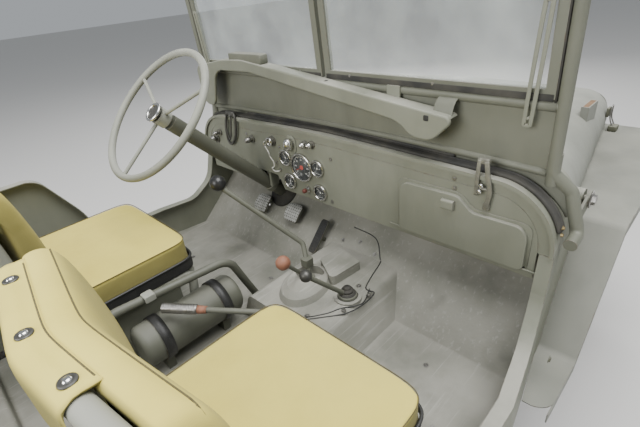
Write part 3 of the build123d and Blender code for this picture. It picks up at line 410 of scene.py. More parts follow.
def upward_factor(tree, low=0.5, high=0.95):
    """How far the surface faces the sky, for dust and for painted light and shade."""
    facing = tree.nodes.new("ShaderNodeNewGeometry")
    split = tree.nodes.new("ShaderNodeSeparateXYZ")
    tree.links.new(facing.outputs["Normal"], split.inputs[0])
    spread = add_node(tree, "ShaderNodeMapRange", {"From Min": low, "From Max": high})
    tree.links.new(split.outputs["Z"], spread.inputs["Value"])
    return spread.outputs["Result"]


print("shape factors ready")

# %% [markdown]
# The paint is a stack of mixes, each laid over the one below by a noise pattern: faded patches, dark
# streaks, dust on what faces the sky, and bare steel with rust where the Bevel node finds an edge. On
# the body the dust is laid thick, and there it is also painted light that makes the tops lighter. A
# painted picture could hold more chosen marks, but it would need a seam plan for every piece.

# %% Paint
OLIVE = (0.178, 0.184, 0.138)
OLIVE_FADED = (0.230, 0.236, 0.186)
DUST = (0.37, 0.36, 0.31)
BARE_STEEL = (0.24, 0.23, 0.21)
RUST = (0.12, 0.055, 0.03)


def service_paint(name, colour=OLIVE, faded=OLIVE_FADED, dust=0.25, chips=0.6, rough=0.62):
    """Matt paint: faded patches, dust on top, fine specks, and edges rubbed to steel and rust."""
    material, tree, shader, spot = start_material(name)
    patches = noise_factor(tree, spot, 2.3, 5, 0.35, 0.68)
    paint = mix_colours(tree, patches, colour, faded)
    streaks = noise_factor(tree, spot, 9.0, 6, 0.45, 0.75, stretch=(1.0, 1.0, 0.35))
    dark = tuple(0.72 * c for c in colour)
    paint = mix_colours(tree, join_factors(tree, streaks, 0.5), paint, dark)
    grime = noise_factor(tree, spot, 5.0, 7, 0.38, 0.66)
    dusty = join_factors(tree, join_factors(tree, grime, upward_factor(tree)), dust)
    paint = mix_colours(tree, dusty, paint, DUST)
    worn = join_factors(tree, edge_factor(tree, 0.0035, 0.02, 0.16),
                        noise_factor(tree, spot, 38.0, 6, 0.44, 0.60))
    bare = mix_colours(tree, noise_factor(tree, spot, 60.0, 3, 0.4, 0.6), RUST, BARE_STEEL)
    paint = mix_colours(tree, join_factors(tree, worn, chips), paint, bare)
    tree.links.new(paint, shader.inputs["Base Color"])
    gloss = add_node(tree, "ShaderNodeMapRange", {"To Min": rough - 0.12, "To Max": rough + 0.16})
    tree.links.new(grime, gloss.inputs["Value"])
    tree.links.new(gloss.outputs["Result"], shader.inputs["Roughness"])
    bump_surface(tree, shader, noise_factor(tree, spot, 420.0, 3, 0.3, 0.7), 0.12, 0.0006)
    return material


# Painted light: the body's dust is laid thick, so that its tops come out lighter, as light from above makes
# them.
body_paint = service_paint("body_paint", dust=0.9)
fender_paint = service_paint("fender_paint", (0.166, 0.169, 0.140), (0.220, 0.223, 0.190), dust=0.25,
                             chips=0.8)
chassis_paint = service_paint("chassis_paint", (0.045, 0.045, 0.032), (0.075, 0.072, 0.055), dust=0.5,
                              chips=0.3)
wheel_paint = service_paint("wheel_paint", (0.085, 0.088, 0.055), (0.12, 0.12, 0.085), dust=0.4, chips=0.7)
seat_tube_paint = service_paint("seat_tube_paint", (0.25, 0.255, 0.21), (0.34, 0.345, 0.30), chips=0.9)
# A darker copy of the olive for the windshield's frame and its fittings: painted shade on faces tilted away
# from the light.
shaded_panel_paint = service_paint("shaded_panel_paint", (0.127, 0.131, 0.098), (0.165, 0.169, 0.132), chips=0.7)
engine_paint = service_paint("engine_paint", (0.05, 0.055, 0.045), (0.08, 0.08, 0.065), dust=0.3, chips=0.2,
                             rough=0.5)
print("paints:", [finish.name for finish in bpy.data.materials if finish.name.endswith("_paint")])

# %% [markdown]
# The floor is the same paint after years of boots: mostly gone to grey dust, with scratches that run
# fore and aft, and olive left along the walls.

# %% Floor paint


def trodden_paint(name):
    """Floor paint: dust in broad patches, long scratches to metal, and dark stains."""
    material, tree, shader, spot = start_material(name)
    patches = noise_factor(tree, spot, 4.0, 7, 0.38, 0.62)
    paint = mix_colours(tree, patches, (0.195, 0.195, 0.160), (0.285, 0.280, 0.240))
    dusty = join_factors(tree, noise_factor(tree, spot, 9.0, 8, 0.40, 0.64), upward_factor(tree, 0.4, 0.9))
    paint = mix_colours(tree, join_factors(tree, dusty, 0.5), paint, (0.36, 0.345, 0.30))
    scratches = noise_factor(tree, spot, 30.0, 5, 0.58, 0.68, stretch=(0.15, 3.0, 3.0))
    paint = mix_colours(tree, join_factors(tree, scratches, 0.25), paint, (0.50, 0.49, 0.45))
    stains = noise_factor(tree, spot, 6.5, 3, 0.60, 0.72)
    paint = mix_colours(tree, join_factors(tree, stains, 0.4), paint, (0.10, 0.098, 0.08))
    worn = join_factors(tree, edge_factor(tree, 0.004, 0.02, 0.15),
                        noise_factor(tree, spot, 30.0, 6, 0.38, 0.58))
    paint = mix_colours(tree, join_factors(tree, worn, 0.8), paint, BARE_STEEL)
    tree.links.new(paint, shader.inputs["Base Color"])
    shader.inputs["Roughness"].default_value = 0.72
    bump_surface(tree, shader, noise_factor(tree, spot, 90.0, 6, 0.3, 0.7), 0.25, 0.0015)
    return material


floor_paint = trodden_paint("floor_paint")
print("floor paint:", len(floor_paint.node_tree.nodes), "nodes")

# %% [markdown]
# Rubber, glass and metal need one or two patterns each: rubber a film of dust, metal a little grime
# that also dulls its gloss, glass a thin haze. The panes are thin, so a see-through surface stands for
# glass that bends light, and the picture stays clear of noise.

# %% Rubber, glass and metal


def dusty_rubber(name, colour=(0.022, 0.022, 0.021), dust=0.5):
    """Black rubber under a thin film of dust."""
    material, tree, shader, spot = start_material(name)
    film = noise_factor(tree, spot, 14.0, 7, 0.36, 0.70)
    grey = mix_colours(tree, join_factors(tree, film, dust), colour, (0.16, 0.145, 0.11))
    tree.links.new(grey, shader.inputs["Base Color"])
    shader.inputs["Roughness"].default_value = 0.8
    bump_surface(tree, shader, noise_factor(tree, spot, 260.0, 3, 0.3, 0.7), 0.2, 0.0006)
    return material


def plain_metal(name, colour, rough, metallic=1.0, grime=0.3):
    """Bare or plated metal with a little grime that also dulls its gloss."""
    material, tree, shader, spot = start_material(name)
    dirt = noise_factor(tree, spot, 55.0, 6, 0.45, 0.75)
    shade = mix_colours(tree, join_factors(tree, dirt, grime), colour, tuple(0.3 * c for c in colour))
    tree.links.new(shade, shader.inputs["Base Color"])
    shader.inputs["Metallic"].default_value = metallic
    spread = add_node(tree, "ShaderNodeMapRange", {"To Min": rough, "To Max": min(rough + 0.3, 1.0)})
    tree.links.new(dirt, spread.inputs["Value"])
    tree.links.new(spread.outputs["Result"], shader.inputs["Roughness"])
    return material


def clear_glass(name, least=0.07, most=0.22):
    """Clear glass: mostly see-through, with dust in patches that runs from the least haze to the most."""
    material, tree, shader, spot = start_material(name)
    shader.inputs["Base Color"].default_value = (0.80, 0.86, 0.84, 1)
    shader.inputs["Roughness"].default_value = 0.06
    shader.inputs["IOR"].default_value = 1.45
    haze = add_node(tree, "ShaderNodeMapRange", {"To Min": least, "To Max": most})
    tree.links.new(noise_factor(tree, spot, 7.0, 6, 0.35, 0.75), haze.inputs["Value"])
    tree.links.new(haze.outputs["Result"], shader.inputs["Alpha"])
    return material


tyre_rubber = dusty_rubber("tyre_rubber", dust=0.55)
black_rubber = dusty_rubber("black_rubber", dust=0.3)
chrome = plain_metal("chrome", (0.72, 0.71, 0.68), 0.12)
worn_steel = plain_metal("worn_steel", (0.34, 0.33, 0.31), 0.38)
dark_steel = plain_metal("dark_steel", (0.09, 0.088, 0.08), 0.42, metallic=0.6)
brown_steel = plain_metal("brown_steel", (0.16, 0.09, 0.06), 0.6, metallic=0.5)
brass = plain_metal("brass", (0.30, 0.235, 0.12), 0.5)
windshield_glass = clear_glass("windshield_glass")
print("with rubber, glass and metal:", len(bpy.data.materials), "materials")

# %% [markdown]
# The canvas is a plain weave: fine waves along X, Y and Z, two of them on any face, that raise the
# surface by a hair and darken it between the threads as painted shade. Its colour is khaki, and faces
# that don't look up are painted darker and browner as shade. Waves along Z fade out on faces that
# point up, where they would draw contour rings round the crown. A mesh can't carry the weave, because
# a thread is only 1 mm wide.

# %% Canvas


def seat_canvas(name, colour=(0.76, 0.64, 0.135), dirty=(0.60, 0.500, 0.100), pitch=0.0011):
    """Woven cotton canvas with broad stains and soft folds. The pitch runs from thread to thread."""
    material, tree, shader, spot = start_material(name)
    stains = noise_factor(tree, spot, 7.0, 6, 0.42, 0.72)
    cloth = mix_colours(tree, join_factors(tree, stains, 0.75), colour, dirty)
    fade = noise_factor(tree, spot, 2.6, 3, 0.35, 0.70)
    cloth = mix_colours(tree, join_factors(tree, fade, 0.5), cloth, (0.80, 0.69, 0.200))
    # Painted shade: faces that don't look up turn darker and browner.
    cloth = mix_colours(tree, upward_factor(tree, 0.0, 0.75), (0.255, 0.225, 0.075), cloth)
    total = None
    for direction in ("X", "Y", "Z"):
        wave = add_node(tree, "ShaderNodeTexWave", {"Scale": 2 * math.pi / (20 * pitch)},
                        bands_direction=direction)
        tree.links.new(spot, wave.inputs["Vector"])
        raised = wave.outputs["Fac"]
        if direction == "Z":
            steep = add_node(tree, "ShaderNodeMath", {0: 1.0}, operation="SUBTRACT")
            tree.links.new(upward_factor(tree, 0.3, 0.8), steep.inputs[1])
            raised = join_factors(tree, raised, steep.outputs[0])
        if total is None:
            total = raised
            continue
        both = add_node(tree, "ShaderNodeMath", operation="ADD")
        tree.links.new(total, both.inputs[0])
        tree.links.new(raised, both.inputs[1])
        total = both.outputs[0]
    # Painted shade between the threads: where the waves are low, the cloth turns darker.
    shade = add_node(tree, "ShaderNodeMapRange", {"From Max": 3.0, "To Min": 0.14, "To Max": 0.0})
    tree.links.new(total, shade.inputs["Value"])
    cloth = mix_colours(tree, shade.outputs["Result"], cloth, (0.22, 0.18, 0.06))
    tree.links.new(cloth, shader.inputs["Base Color"])
    shader.inputs["Roughness"].default_value = 0.92
    shader.inputs["Sheen Weight"].default_value = 0.05
    shader.inputs["Specular IOR Level"].default_value = 0.25
    bump_surface(tree, shader, total, 0.2, 0.0004)
    folds = add_node(tree, "ShaderNodeBump", {"Strength": 0.4, "Distance": 0.006})
    tree.links.new(noise_factor(tree, spot, 9.0, 3, 0.3, 0.7), folds.inputs["Height"])
    weave = shader.inputs["Normal"].links[0].from_node
    tree.links.new(folds.outputs["Normal"], weave.inputs["Normal"])
    return material


canvas = seat_canvas("canvas")
print("canvas:", len(canvas.node_tree.nodes), "nodes")

# %% [markdown]
# Some CAD solids hold several real parts in one mesh: the gauges' bright rims beside dull knobs, and
# the hood's wood blocks. A mask in Object coordinates gives each its own finish: it is 1 inside a box
# and 0 outside. The mesh could be cut apart instead, but the CAD meshes stay as they came.

# %% Masked finishes


def inside_box(tree, spot, low, high):
    """1 where |spot - middle| is under half the box on all three axes."""
    middle = tuple((a + b) / 2 for a, b in zip(low, high))
    half = tuple((b - a) / 2 for a, b in zip(low, high))
    away = add_node(tree, "ShaderNodeVectorMath", {1: middle}, operation="SUBTRACT")
    tree.links.new(spot, away.inputs[0])
    size = add_node(tree, "ShaderNodeVectorMath", operation="ABSOLUTE")
    tree.links.new(away.outputs[0], size.inputs[0])
    over = add_node(tree, "ShaderNodeVectorMath", {1: half}, operation="SUBTRACT")
    tree.links.new(size.outputs[0], over.inputs[0])
    split = tree.nodes.new("ShaderNodeSeparateXYZ")
    tree.links.new(over.outputs[0], split.inputs[0])
    worst = split.outputs[0]
    for axis in (1, 2):
        larger = add_node(tree, "ShaderNodeMath", operation="MAXIMUM")
        tree.links.new(worst, larger.inputs[0])
        tree.links.new(split.outputs[axis], larger.inputs[1])
        worst = larger.outputs[0]
    inside = add_node(tree, "ShaderNodeMath", {1: 0.0}, operation="LESS_THAN")
    tree.links.new(worst, inside.inputs[0])
    return inside.outputs[0]


def two_finishes(material, low, high, other, metallic=None, rough=None):
    """Lays another colour, and another gloss where one is given, inside a box of a material."""
    tree = material.node_tree
    shader = tree.nodes["Principled BSDF"]
    spot = tree.nodes.new("ShaderNodeTexCoord").outputs["Object"]
    mask = inside_box(tree, spot, low, high)
    pattern = noise_factor(tree, spot, 45.0, 6, 0.35, 0.65)
    colour = mix_colours(tree, pattern, other, tuple(0.7 * c for c in other))
    base = shader.inputs["Base Color"]
    below = base.links[0].from_socket
    tree.links.new(mix_colours(tree, mask, below, colour), base)
    for name, value in (("Metallic", metallic), ("Roughness", rough)):
        if value is None:
            continue
        socket = shader.inputs[name]
        blend = add_node(tree, "ShaderNodeMix", {3: value}, data_type="FLOAT")
        tree.links.new(mask, blend.inputs[0])
        if socket.links:
            tree.links.new(socket.links[0].from_socket, blend.inputs[2])
        else:
            blend.inputs[2].default_value = socket.default_value
        tree.links.new(blend.outputs[0], socket)
    return material


instrument_finish = two_finishes(service_paint("instrument_finish", (0.10, 0.10, 0.08), (0.14, 0.14, 0.115)),
                                 (0.30, -0.02, 0.80), (0.40, 0.222, 0.962), (0.70, 0.69, 0.66), 1.0, 0.18)
# A lighter copy of the olive for the hood: painted light, since the hood's top faces the light from above.
hood_lit_paint = service_paint("hood_lit_paint", (0.235, 0.240, 0.205), (0.300, 0.305, 0.268), dust=0.3)
for low_y, high_y in ((-0.5525, -0.5355), (0.5355, 0.5525)):
    two_finishes(hood_lit_paint, (1.080, low_y, 0.998), (1.172, high_y, 1.020), (0.22, 0.13, 0.065))
# A darker copy of the olive for the cylinder and guard tube between the seats: painted shade.
shaded_gap_paint = service_paint("shaded_gap_paint", (0.085, 0.088, 0.065), (0.120, 0.123, 0.096), chips=0.8)
control_paint = service_paint("control_paint", (0.098, 0.101, 0.074), (0.135, 0.138, 0.106), chips=0.9)
print("masked:", instrument_finish.name, hood_lit_paint.name)

# %% [markdown]
# Each CAD node now takes its finish. Most of the car is body paint, so the table names only what
# differs, and the tyres and rims are found by the ends of their names. Each node could be set on a
# line of its own, but then a node that is added later could be left without a finish.

# %% Finishes on the CAD nodes
node_finish = {
    "chassis_frame": chassis_paint, "front_axle": chassis_paint, "rear_axle": chassis_paint,
    "knuckle_left": chassis_paint, "knuckle_right": chassis_paint, "engine_and_drive": engine_paint,
    "exhaust": brown_steel, "radiator": dark_steel, "tub_floor": floor_paint, "fenders": fender_paint,
    "instruments": instrument_finish, "hood": hood_lit_paint, "windshield_frame": shaded_panel_paint,
    "windshield_glass": windshield_glass, "driver_cushions": canvas, "passenger_cushions": canvas,
    "rear_cushions": canvas, "driver_seat_frame": seat_tube_paint, "passenger_seat_frame": seat_tube_paint,
    "rear_seat_frame": seat_tube_paint, "steering_wheel": seat_tube_paint, "gap_fittings": shaded_gap_paint,
    "driver_controls": control_paint,
}
for node, piece in nodes.items():
    finish = node_finish.get(node, body_paint)
    if node.endswith("_tyre"):
        finish = tyre_rubber
    if node.endswith("_rim"):
        finish = wheel_paint
    for slot in piece.material_slots:
        slot.material = finish
print("finishes:", len(bpy.data.materials))

# %% [markdown]
# ## Gauges and switches
#
# The dash carries one large speedometer and four small gauges. Each is a black disc at the bottom of
# its bright rim, with white marks, a needle and a slightly domed glass. The marks are thin closed
# slabs set round a circle: an angle a clockwise from the top, seen by the driver, lies at
# y - r sin(a), z + r cos(a), because the driver's right hand is towards -Y.

# %% Dial finishes


def smooth_plastic(name, colour, rough=0.35, patch=0.25):
    """Moulded or enamelled material: a little uneven in colour and gloss, with fine dust specks."""
    material, tree, shader, spot = start_material(name)
    cloud = noise_factor(tree, spot, 40.0, 5, 0.35, 0.7)
    shade = mix_colours(tree, join_factors(tree, cloud, patch), colour,
                        tuple(min(1.0, 1.5 * c + 0.02) for c in colour))
    specks = join_factors(tree, noise_factor(tree, spot, 700.0, 2, 0.66, 0.74), 0.35)
    tree.links.new(mix_colours(tree, specks, shade, DUST), shader.inputs["Base Color"])
    spread = add_node(tree, "ShaderNodeMapRange", {"To Min": rough, "To Max": min(rough + 0.2, 1.0)})
    tree.links.new(cloud, spread.inputs["Value"])
    tree.links.new(spread.outputs["Result"], shader.inputs["Roughness"])
    return material


dial_black = smooth_plastic("dial_black", (0.012, 0.012, 0.012))
mark_white = smooth_plastic("mark_white", (0.75, 0.74, 0.68), 0.5)
mark_red = smooth_plastic("mark_red", (0.50, 0.035, 0.02), 0.45)
button_brown = smooth_plastic("button_brown", (0.12, 0.03, 0.02), 0.5)
knob_black = smooth_plastic("knob_black", (0.018, 0.018, 0.018), 0.3)
knob_brown = smooth_plastic("knob_brown", (0.22, 0.095, 0.055), 0.5, 0.5)
rim_black = smooth_plastic("rim_black", (0.02, 0.02, 0.019), 0.4)
tail_red = smooth_plastic("tail_red", (0.30, 0.012, 0.01), 0.15)
dial_glass = clear_glass("dial_glass", 0.01, 0.05)
print("with the dials' finishes:", len(bpy.data.materials), "materials")

# %% [markdown]
# A mark is a slab with eight corners, worked out for all angles of a dial in one array. A number is
# Blender's own text with a little depth, made a mesh and laid out in the dial's plane: cutting the
# letters by hand would only copy what the font already has.

# %% Marks and numbers
GAUGES = [(0.107, 0.907, 0.047), (0.185, 0.927, 0.026), (0.174, 0.841, 0.026), (0.027, 0.834, 0.026),
          (0.032, 0.920, 0.026)]
DIAL_X = 0.3832
MARK_X = 0.3828
BOX_FACES = [(0, 1, 2, 3), (7, 6, 5, 4), (0, 4, 5, 1), (1, 5, 6, 2), (2, 6, 7, 3), (3, 7, 4, 0)]


def mark_shells(y, z, inner, outer, width, angles, thick=0.0004):
    """Slabs on a circle: corners at radius inner and outer, half the width to each side."""
    a = np.radians(np.atleast_1d(angles))[:, None]
    half = width / 2
    r = np.array([inner, inner, outer, outer])[None]
    s = np.array([-half, half, half, -half])[None]
    across = y - r * np.sin(a) - s * np.cos(a)
    above = z + r * np.cos(a) - s * np.sin(a)
    front = np.stack([np.full_like(across, MARK_X), across, above], axis=-1)
    back = front + np.array([thick, 0, 0])
    return [(slab, BOX_FACES) for slab in np.concatenate([front, back], axis=1)]


def text_shell(text, size, y, z, thick=0.0002):
    """A number as a thin solid that faces the driver: its x runs to -Y, its y to +Z."""
    curve = bpy.data.curves.new("number", "FONT")
    curve.body, curve.size, curve.extrude = text, size, thick
    curve.align_x, curve.align_y = "CENTER", "CENTER"
    holder = bpy.data.objects.new("number", curve)
    bpy.context.collection.objects.link(holder)
    bpy.context.view_layer.update()
    mesh = bpy.data.meshes.new_from_object(holder.evaluated_get(bpy.context.evaluated_depsgraph_get()))
    flat = np.empty(len(mesh.vertices) * 3)
    mesh.vertices.foreach_get("co", flat)
    flat = flat.reshape(-1, 3)
    faces = [list(face.vertices) for face in mesh.polygons]
    bpy.data.objects.remove(holder)
    bpy.data.curves.remove(curve)
    bpy.data.meshes.remove(mesh)
    return np.stack([MARK_X - flat[:, 2], y - flat[:, 0], z + flat[:, 1]], axis=-1), faces


print("gauges:", len(GAUGES), "with the largest radius", GAUGES[0][2])

# %% [markdown]
# The large dial runs from 0 to 60 over 260 degrees, with a long mark every 5 and a short one every 1.
# Each small dial has nine marks over 120 degrees. The face could be one picture, but marks that are
# solids stay sharp however close the camera comes.

# %% Dial faces and marks
discs = [turned_shell([(0, 0), (0, r - 0.0032), (0.0007, r - 0.0032), (0.0007, 0)], (DIAL_X, y, z),
                      (1, 0, 0), 48) for y, z, r in GAUGES]
mesh_piece("dial_faces", discs, dial_black, "tub")
big_y, big_z = GAUGES[0][:2]
marks = mark_shells(big_y, big_z, 0.0335, 0.0405, 0.0011, np.linspace(-130, 130, 13))
marks += mark_shells(big_y, big_z, 0.0370, 0.0405, 0.0006, np.linspace(-130, 130, 61))
for number, angle in zip(("0", "10", "20", "30", "40", "50", "60"), np.radians(np.linspace(-130, 130, 7))):
    marks.append(text_shell(number, 0.0085, big_y - 0.0275 * np.sin(angle), big_z + 0.0275 * np.cos(angle)))
for y, z, r in GAUGES[1:]:
    marks += mark_shells(y, z, r - 0.0085, r - 0.0050, 0.0008, np.linspace(-60, 60, 9))
    marks += mark_shells(y, z, r - 0.0085, r - 0.0078, 0.0300, [180], 0.0003)
    marks.append(text_shell("0", 0.0050, y + 0.0105, z + 0.0005))
    marks.append(text_shell("60", 0.0050, y - 0.0105, z + 0.0005))
mesh_piece("dial_marks", marks, mark_white, "tub", smooth=False)
print("dials:", len(GAUGES), "marks:", added_pieces["dial_marks"])

# %% [markdown]
# A red needle stands in the large dial and a white one in each small dial, on a small turned hub. Over
# them lies a slightly domed glass, a parabola turned about the dial's axis, in a bright rim. Tapered
# needles would be truer, but at this size a flat slab reads more clearly.

# %% Needles, glasses and rims
needles = mark_shells(big_y, big_z, -0.008, 0.031, 0.0016, [-118])
needles += [turned_shell([(0, 0), (0, 0.0080), (0.0005, 0.0080), (0.0005, 0)],
                         (MARK_X - 0.0003, big_y, big_z), (1, 0, 0), 32)]
mesh_piece("speedometer_needle", needles, mark_red, "tub", smooth=False)
pointers = []
for (y, z, r), angle in zip(GAUGES[1:], (-35, 20, -48, 10)):
    pointers += mark_shells(y, z, -0.004, r - 0.009, 0.0011, [angle])
    pointers += [turned_shell([(0, 0), (0, 0.003), (0.0006, 0.003), (0.0006, 0)], (MARK_X - 0.0004, y, z),
                              (1, 0, 0), 16)]
mesh_piece("gauge_pointers", pointers, mark_white, "tub", smooth=False)
glasses = []
for y, z, r in GAUGES:
    s = np.linspace(0, 1, 6)
    dome = np.stack([-0.0018 * (1 - s**2), (r - 0.0032) * s], axis=-1)
    back = np.array([(0.0006, r - 0.0032), (0.0006, 0)])
    glasses.append(turned_shell(np.vstack([dome, back]), (0.3812, y, z), (1, 0, 0), 40))
mesh_piece("dial_glasses", glasses, dial_glass, "tub")
rims = [turned_shell([(-0.0022, r - 0.0018), (-0.0030, r + 0.0008), (-0.0018, r + 0.0034), (0.0, r + 0.0042),
                      (0.0, r - 0.0026)], (0.3802, y, z), (1, 0, 0), 48, ring=True) for y, z, r in GAUGES]
mesh_piece("dial_rims", rims, chrome, "tub")
print("glasses and rims:", added_pieces["dial_glasses"] + added_pieces["dial_rims"], "faces")

# %% [markdown]
# Round the gauges sit screws, the ignition lock with its key and bead chain, bright domes over the
# hooded lamps and capped switches. They are small turned shells that stand on the panel, because each
# is round about an axis that points at the driver, and one profile gives its whole shape.

# %% Switches
FACE_X = 0.387
DOME = [(0.0, 0), (0.0, 0.011), (-0.004, 0.011), (-0.010, 0.008), (-0.014, 0.0045), (-0.0155, 0)]
domes = [turned_shell(DOME, (0.3752, y, z), (1, 0, 0), 28) for y, z in ((0.080, 0.995), (0.048, 1.000))]
domes.append(box_shell((0.3540, 0.1295, 0.9640), (0.3860, 0.1645, 1.0080), 1.0))
mesh_piece("lamp_domes", domes, chrome, "tub")
plate = box_shell((0.3826, 0.124, 0.950), (0.3872, 0.170, 1.014), 0.7)
mesh_piece("lamp_plate", [plate], body_paint, "tub")
SWITCHES = ((0.365, 0.965, 0.010), (0.577, 0.957, 0.008), (0.609, 0.926, 0.014))
caps = [turned_shell([(0.0, 0), (0.0, r * 1.05), (-0.006, r * 1.05), (-0.009, r * 0.92), (-0.016, r * 0.86),
                      (-0.018, 0)], (0.3712, y, z), (1, 0, 0), 20) for y, z, r in SWITCHES]
mesh_piece("switch_caps", caps, worn_steel, "tub")
BUTTON = [(0, 0), (0, 0.0078), (-0.010, 0.0076), (-0.013, 0.005), (-0.0138, 0)]
button = turned_shell(BUTTON, (0.3716, 0.086, 0.831), (1, 0, 0), 24)
mesh_piece("starter_button", [button], button_brown, "tub")
LOCK_Y, LOCK_Z = 0.247, 0.978
LOCK_RING = [(-0.003, 0.0105), (-0.003, 0.0155), (0.0012, 0.0165), (0.0012, 0.0105)]
LOCK_FACE = [(0, 0), (0, 0.0100), (-0.002, 0.0096), (-0.002, 0)]
lock = [turned_shell(LOCK_RING, (0.3702, LOCK_Y, LOCK_Z), (1, 0, 0), 32, ring=True),
        turned_shell(LOCK_FACE, (0.3712, LOCK_Y, LOCK_Z), (1, 0, 0), 24),
        box_shell((0.3440, 0.2457, 0.9690), (0.3700, 0.2483, 0.9870), 0.5)]
mesh_piece("ignition_lock", lock, chrome, "tub")
bead_line = smooth_path([(0.350, 0.247, 0.9685), (0.356, 0.240, 0.945), (0.364, 0.246, 0.925),
                         (0.370, 0.238, 0.905), (0.374, 0.243, 0.885), (0.378, 0.262, 0.872),
                         (0.380, 0.250, 0.862), (0.380, 0.226, 0.868)], 48)
BEAD = [(-0.0019, 0), (-0.0013, 0.0014), (0, 0.0019), (0.0013, 0.0014), (0.0019, 0)]
beads = [turned_shell(BEAD, place, (0, 0, 1), 8) for place in bead_line]
mesh_piece("key_chain", beads, mark_white, "tub")
panel_screws = [(FACE_X, 0.241, 0.896), (FACE_X, 0.398, 0.977), (FACE_X, 0.226, 0.870),
                (FACE_X, -0.030, 0.965), (FACE_X, 0.215, 0.960), (FACE_X, -0.022, 0.812),
                (FACE_X, -0.449, 1.003), (FACE_X, -0.451, 0.978)]
mesh_piece("dash_screws", bolt_shells(panel_screws, (-1, 0, 0), 0.0045, 0.0032), worn_steel, "tub",
           smooth=False)
print("dash screws:", len(panel_screws), "and beads:", len(beads))

# %% [markdown]
# ## Rubber seal and windshield fittings
#
# A band of black rubber lies on the cowl where the windshield's foot comes down. It follows the
# cowl's hoop: a shallow slope from the middle to the shoulders, then an arc down each side. It could
# be cut from the cowl's own surface, but the hoop's formula is shorter and keeps the band even.

# %% Cowl seal
SHOULDER_Y, SHOULDER_Z, SHOULDER_R, CROWN = 0.55, 0.8785, 0.15, 1.045


def hoop_path(lowest_angle, rise, count=24):
    """The cowl's hoop from right to left, moved out by rise: an arc at each shoulder and two slopes."""
    angle = np.radians(np.linspace(lowest_angle, 88.0, count))
    r = SHOULDER_R + rise
    arc = np.stack([SHOULDER_Y + r * np.cos(angle), SHOULDER_Z + r * np.sin(angle)], axis=-1)
    slope_y = np.linspace(SHOULDER_Y - 0.012, 0, 14)
    slope_z = CROWN + rise - (CROWN - SHOULDER_Z - SHOULDER_R) * slope_y / SHOULDER_Y
    half = np.vstack([arc, np.stack([slope_y, slope_z], axis=-1)])
    return np.vstack([half * (-1, 1), half[-2::-1]])


flat_hoop = hoop_path(18.0, 0.0035)
seal_path = np.column_stack([np.full(len(flat_hoop), 0.4120), flat_hoop])
mesh_piece("windshield_seal", [swept_shell(seal_path, flat_section(0.010, 0.026, 20, 0.6), (1, 0, 0)),
                               swept_shell(seal_path + (0.012, 0, 0), round_section(0.0062), (1, 0, 0))],
           black_rubber, "tub")
print("seal:", len(seal_path), "stations")

# %% [markdown]
# The windshield leans back by 3 degrees, so its strips and rails are laid out in its own upright frame
# and turned into the car's frame by one function. A rubber bulb closes the gap under the bottom rail,
# black strips edge the two inner frames, and smooth tubes cover the facets of the two rails.

# %% Windshield strips and rails
WIND_X, WIND_Z, LEAN = 0.436, 1.053, math.radians(3)
TUBE_Y = 0.652
MID_RAIL_Z = 0.142


def on_windshield(x, y, z):
    """A point of the windshield's own leaning frame in the car's frame."""
    return (WIND_X + x * math.cos(LEAN) - z * math.sin(LEAN), y,
            WIND_Z + x * math.sin(LEAN) + z * math.cos(LEAN))


def rail_sag(y):
    """The bottom rail's height: 7 mm up in the middle and 8 mm down at the sides."""
    return 0.007 - 0.015 * (y / TUBE_Y) ** 2


def frame_strip(points, width, thick, sides=16, power=0.35):
    """A flat black strip along points that are given in the windshield's own frame."""
    placed = [on_windshield(*point) for point in points]
    return swept_shell(placed, flat_section(width, thick, sides, power), (1, 0, 0))


rail_y = np.linspace(-0.640, 0.640, 60)
bulb = [(-0.004, y, rail_sag(y) - 0.0105) for y in rail_y[10:-10]]
lip = [(-0.006, y, rail_sag(y) - 0.0165) for y in rail_y[13:-13]]
bottom_seal = [frame_strip(bulb, 0.011, 0.014, 16, 0.7), frame_strip(lip, 0.009, 0.009, 12, 0.7)]
mesh_piece("bottom_seal", bottom_seal, black_rubber, "windshield")
strips = []
for side in (-1, 1):
    foot = [(0, y, 0.1545) for y in np.linspace(side * 0.010, side * 0.632, 12)]
    edge = [(0, side * 0.637, z) for z in np.linspace(0.150, 0.535, 12)]
    cover = [(-0.0092, y, 0.1600) for y in np.linspace(side * 0.012, side * 0.632, 12)]
    strips.append(frame_strip(foot, 0.005, 0.018))
    strips.append(frame_strip(edge, 0.0042, 0.018))
    strips.append(frame_strip(cover, 0.014, 0.0026))
mesh_piece("glass_strips", strips, black_rubber, "windshield")
mid_rail = [on_windshield(0, y, MID_RAIL_Z) for y in np.linspace(-0.640, 0.640, 24)]
bottom_rail = [on_windshield(0, y, rail_sag(y)) for y in rail_y]
rails = [swept_shell(mid_rail, round_section(0.0122, 24), (1, 0, 0)),
         swept_shell(bottom_rail, round_section(0.0092, 20), (1, 0, 0))]
mesh_piece("windshield_rails", rails, shaded_panel_paint, "windshield")
print("rails and strips:", added_pieces["windshield_rails"] + added_pieces["glass_strips"], "faces")

# %% [markdown]
# At each end the windshield's sheet runs on below the rail as an apron that follows the cowl's round
# shoulder. It is a ruled surface: straight lines from a lower curve, 3 mm above the cowl, to an upper
# curve along the rail and the upright's foot. Two curves are enough, since sheet bends one way only.

# %% Aprons


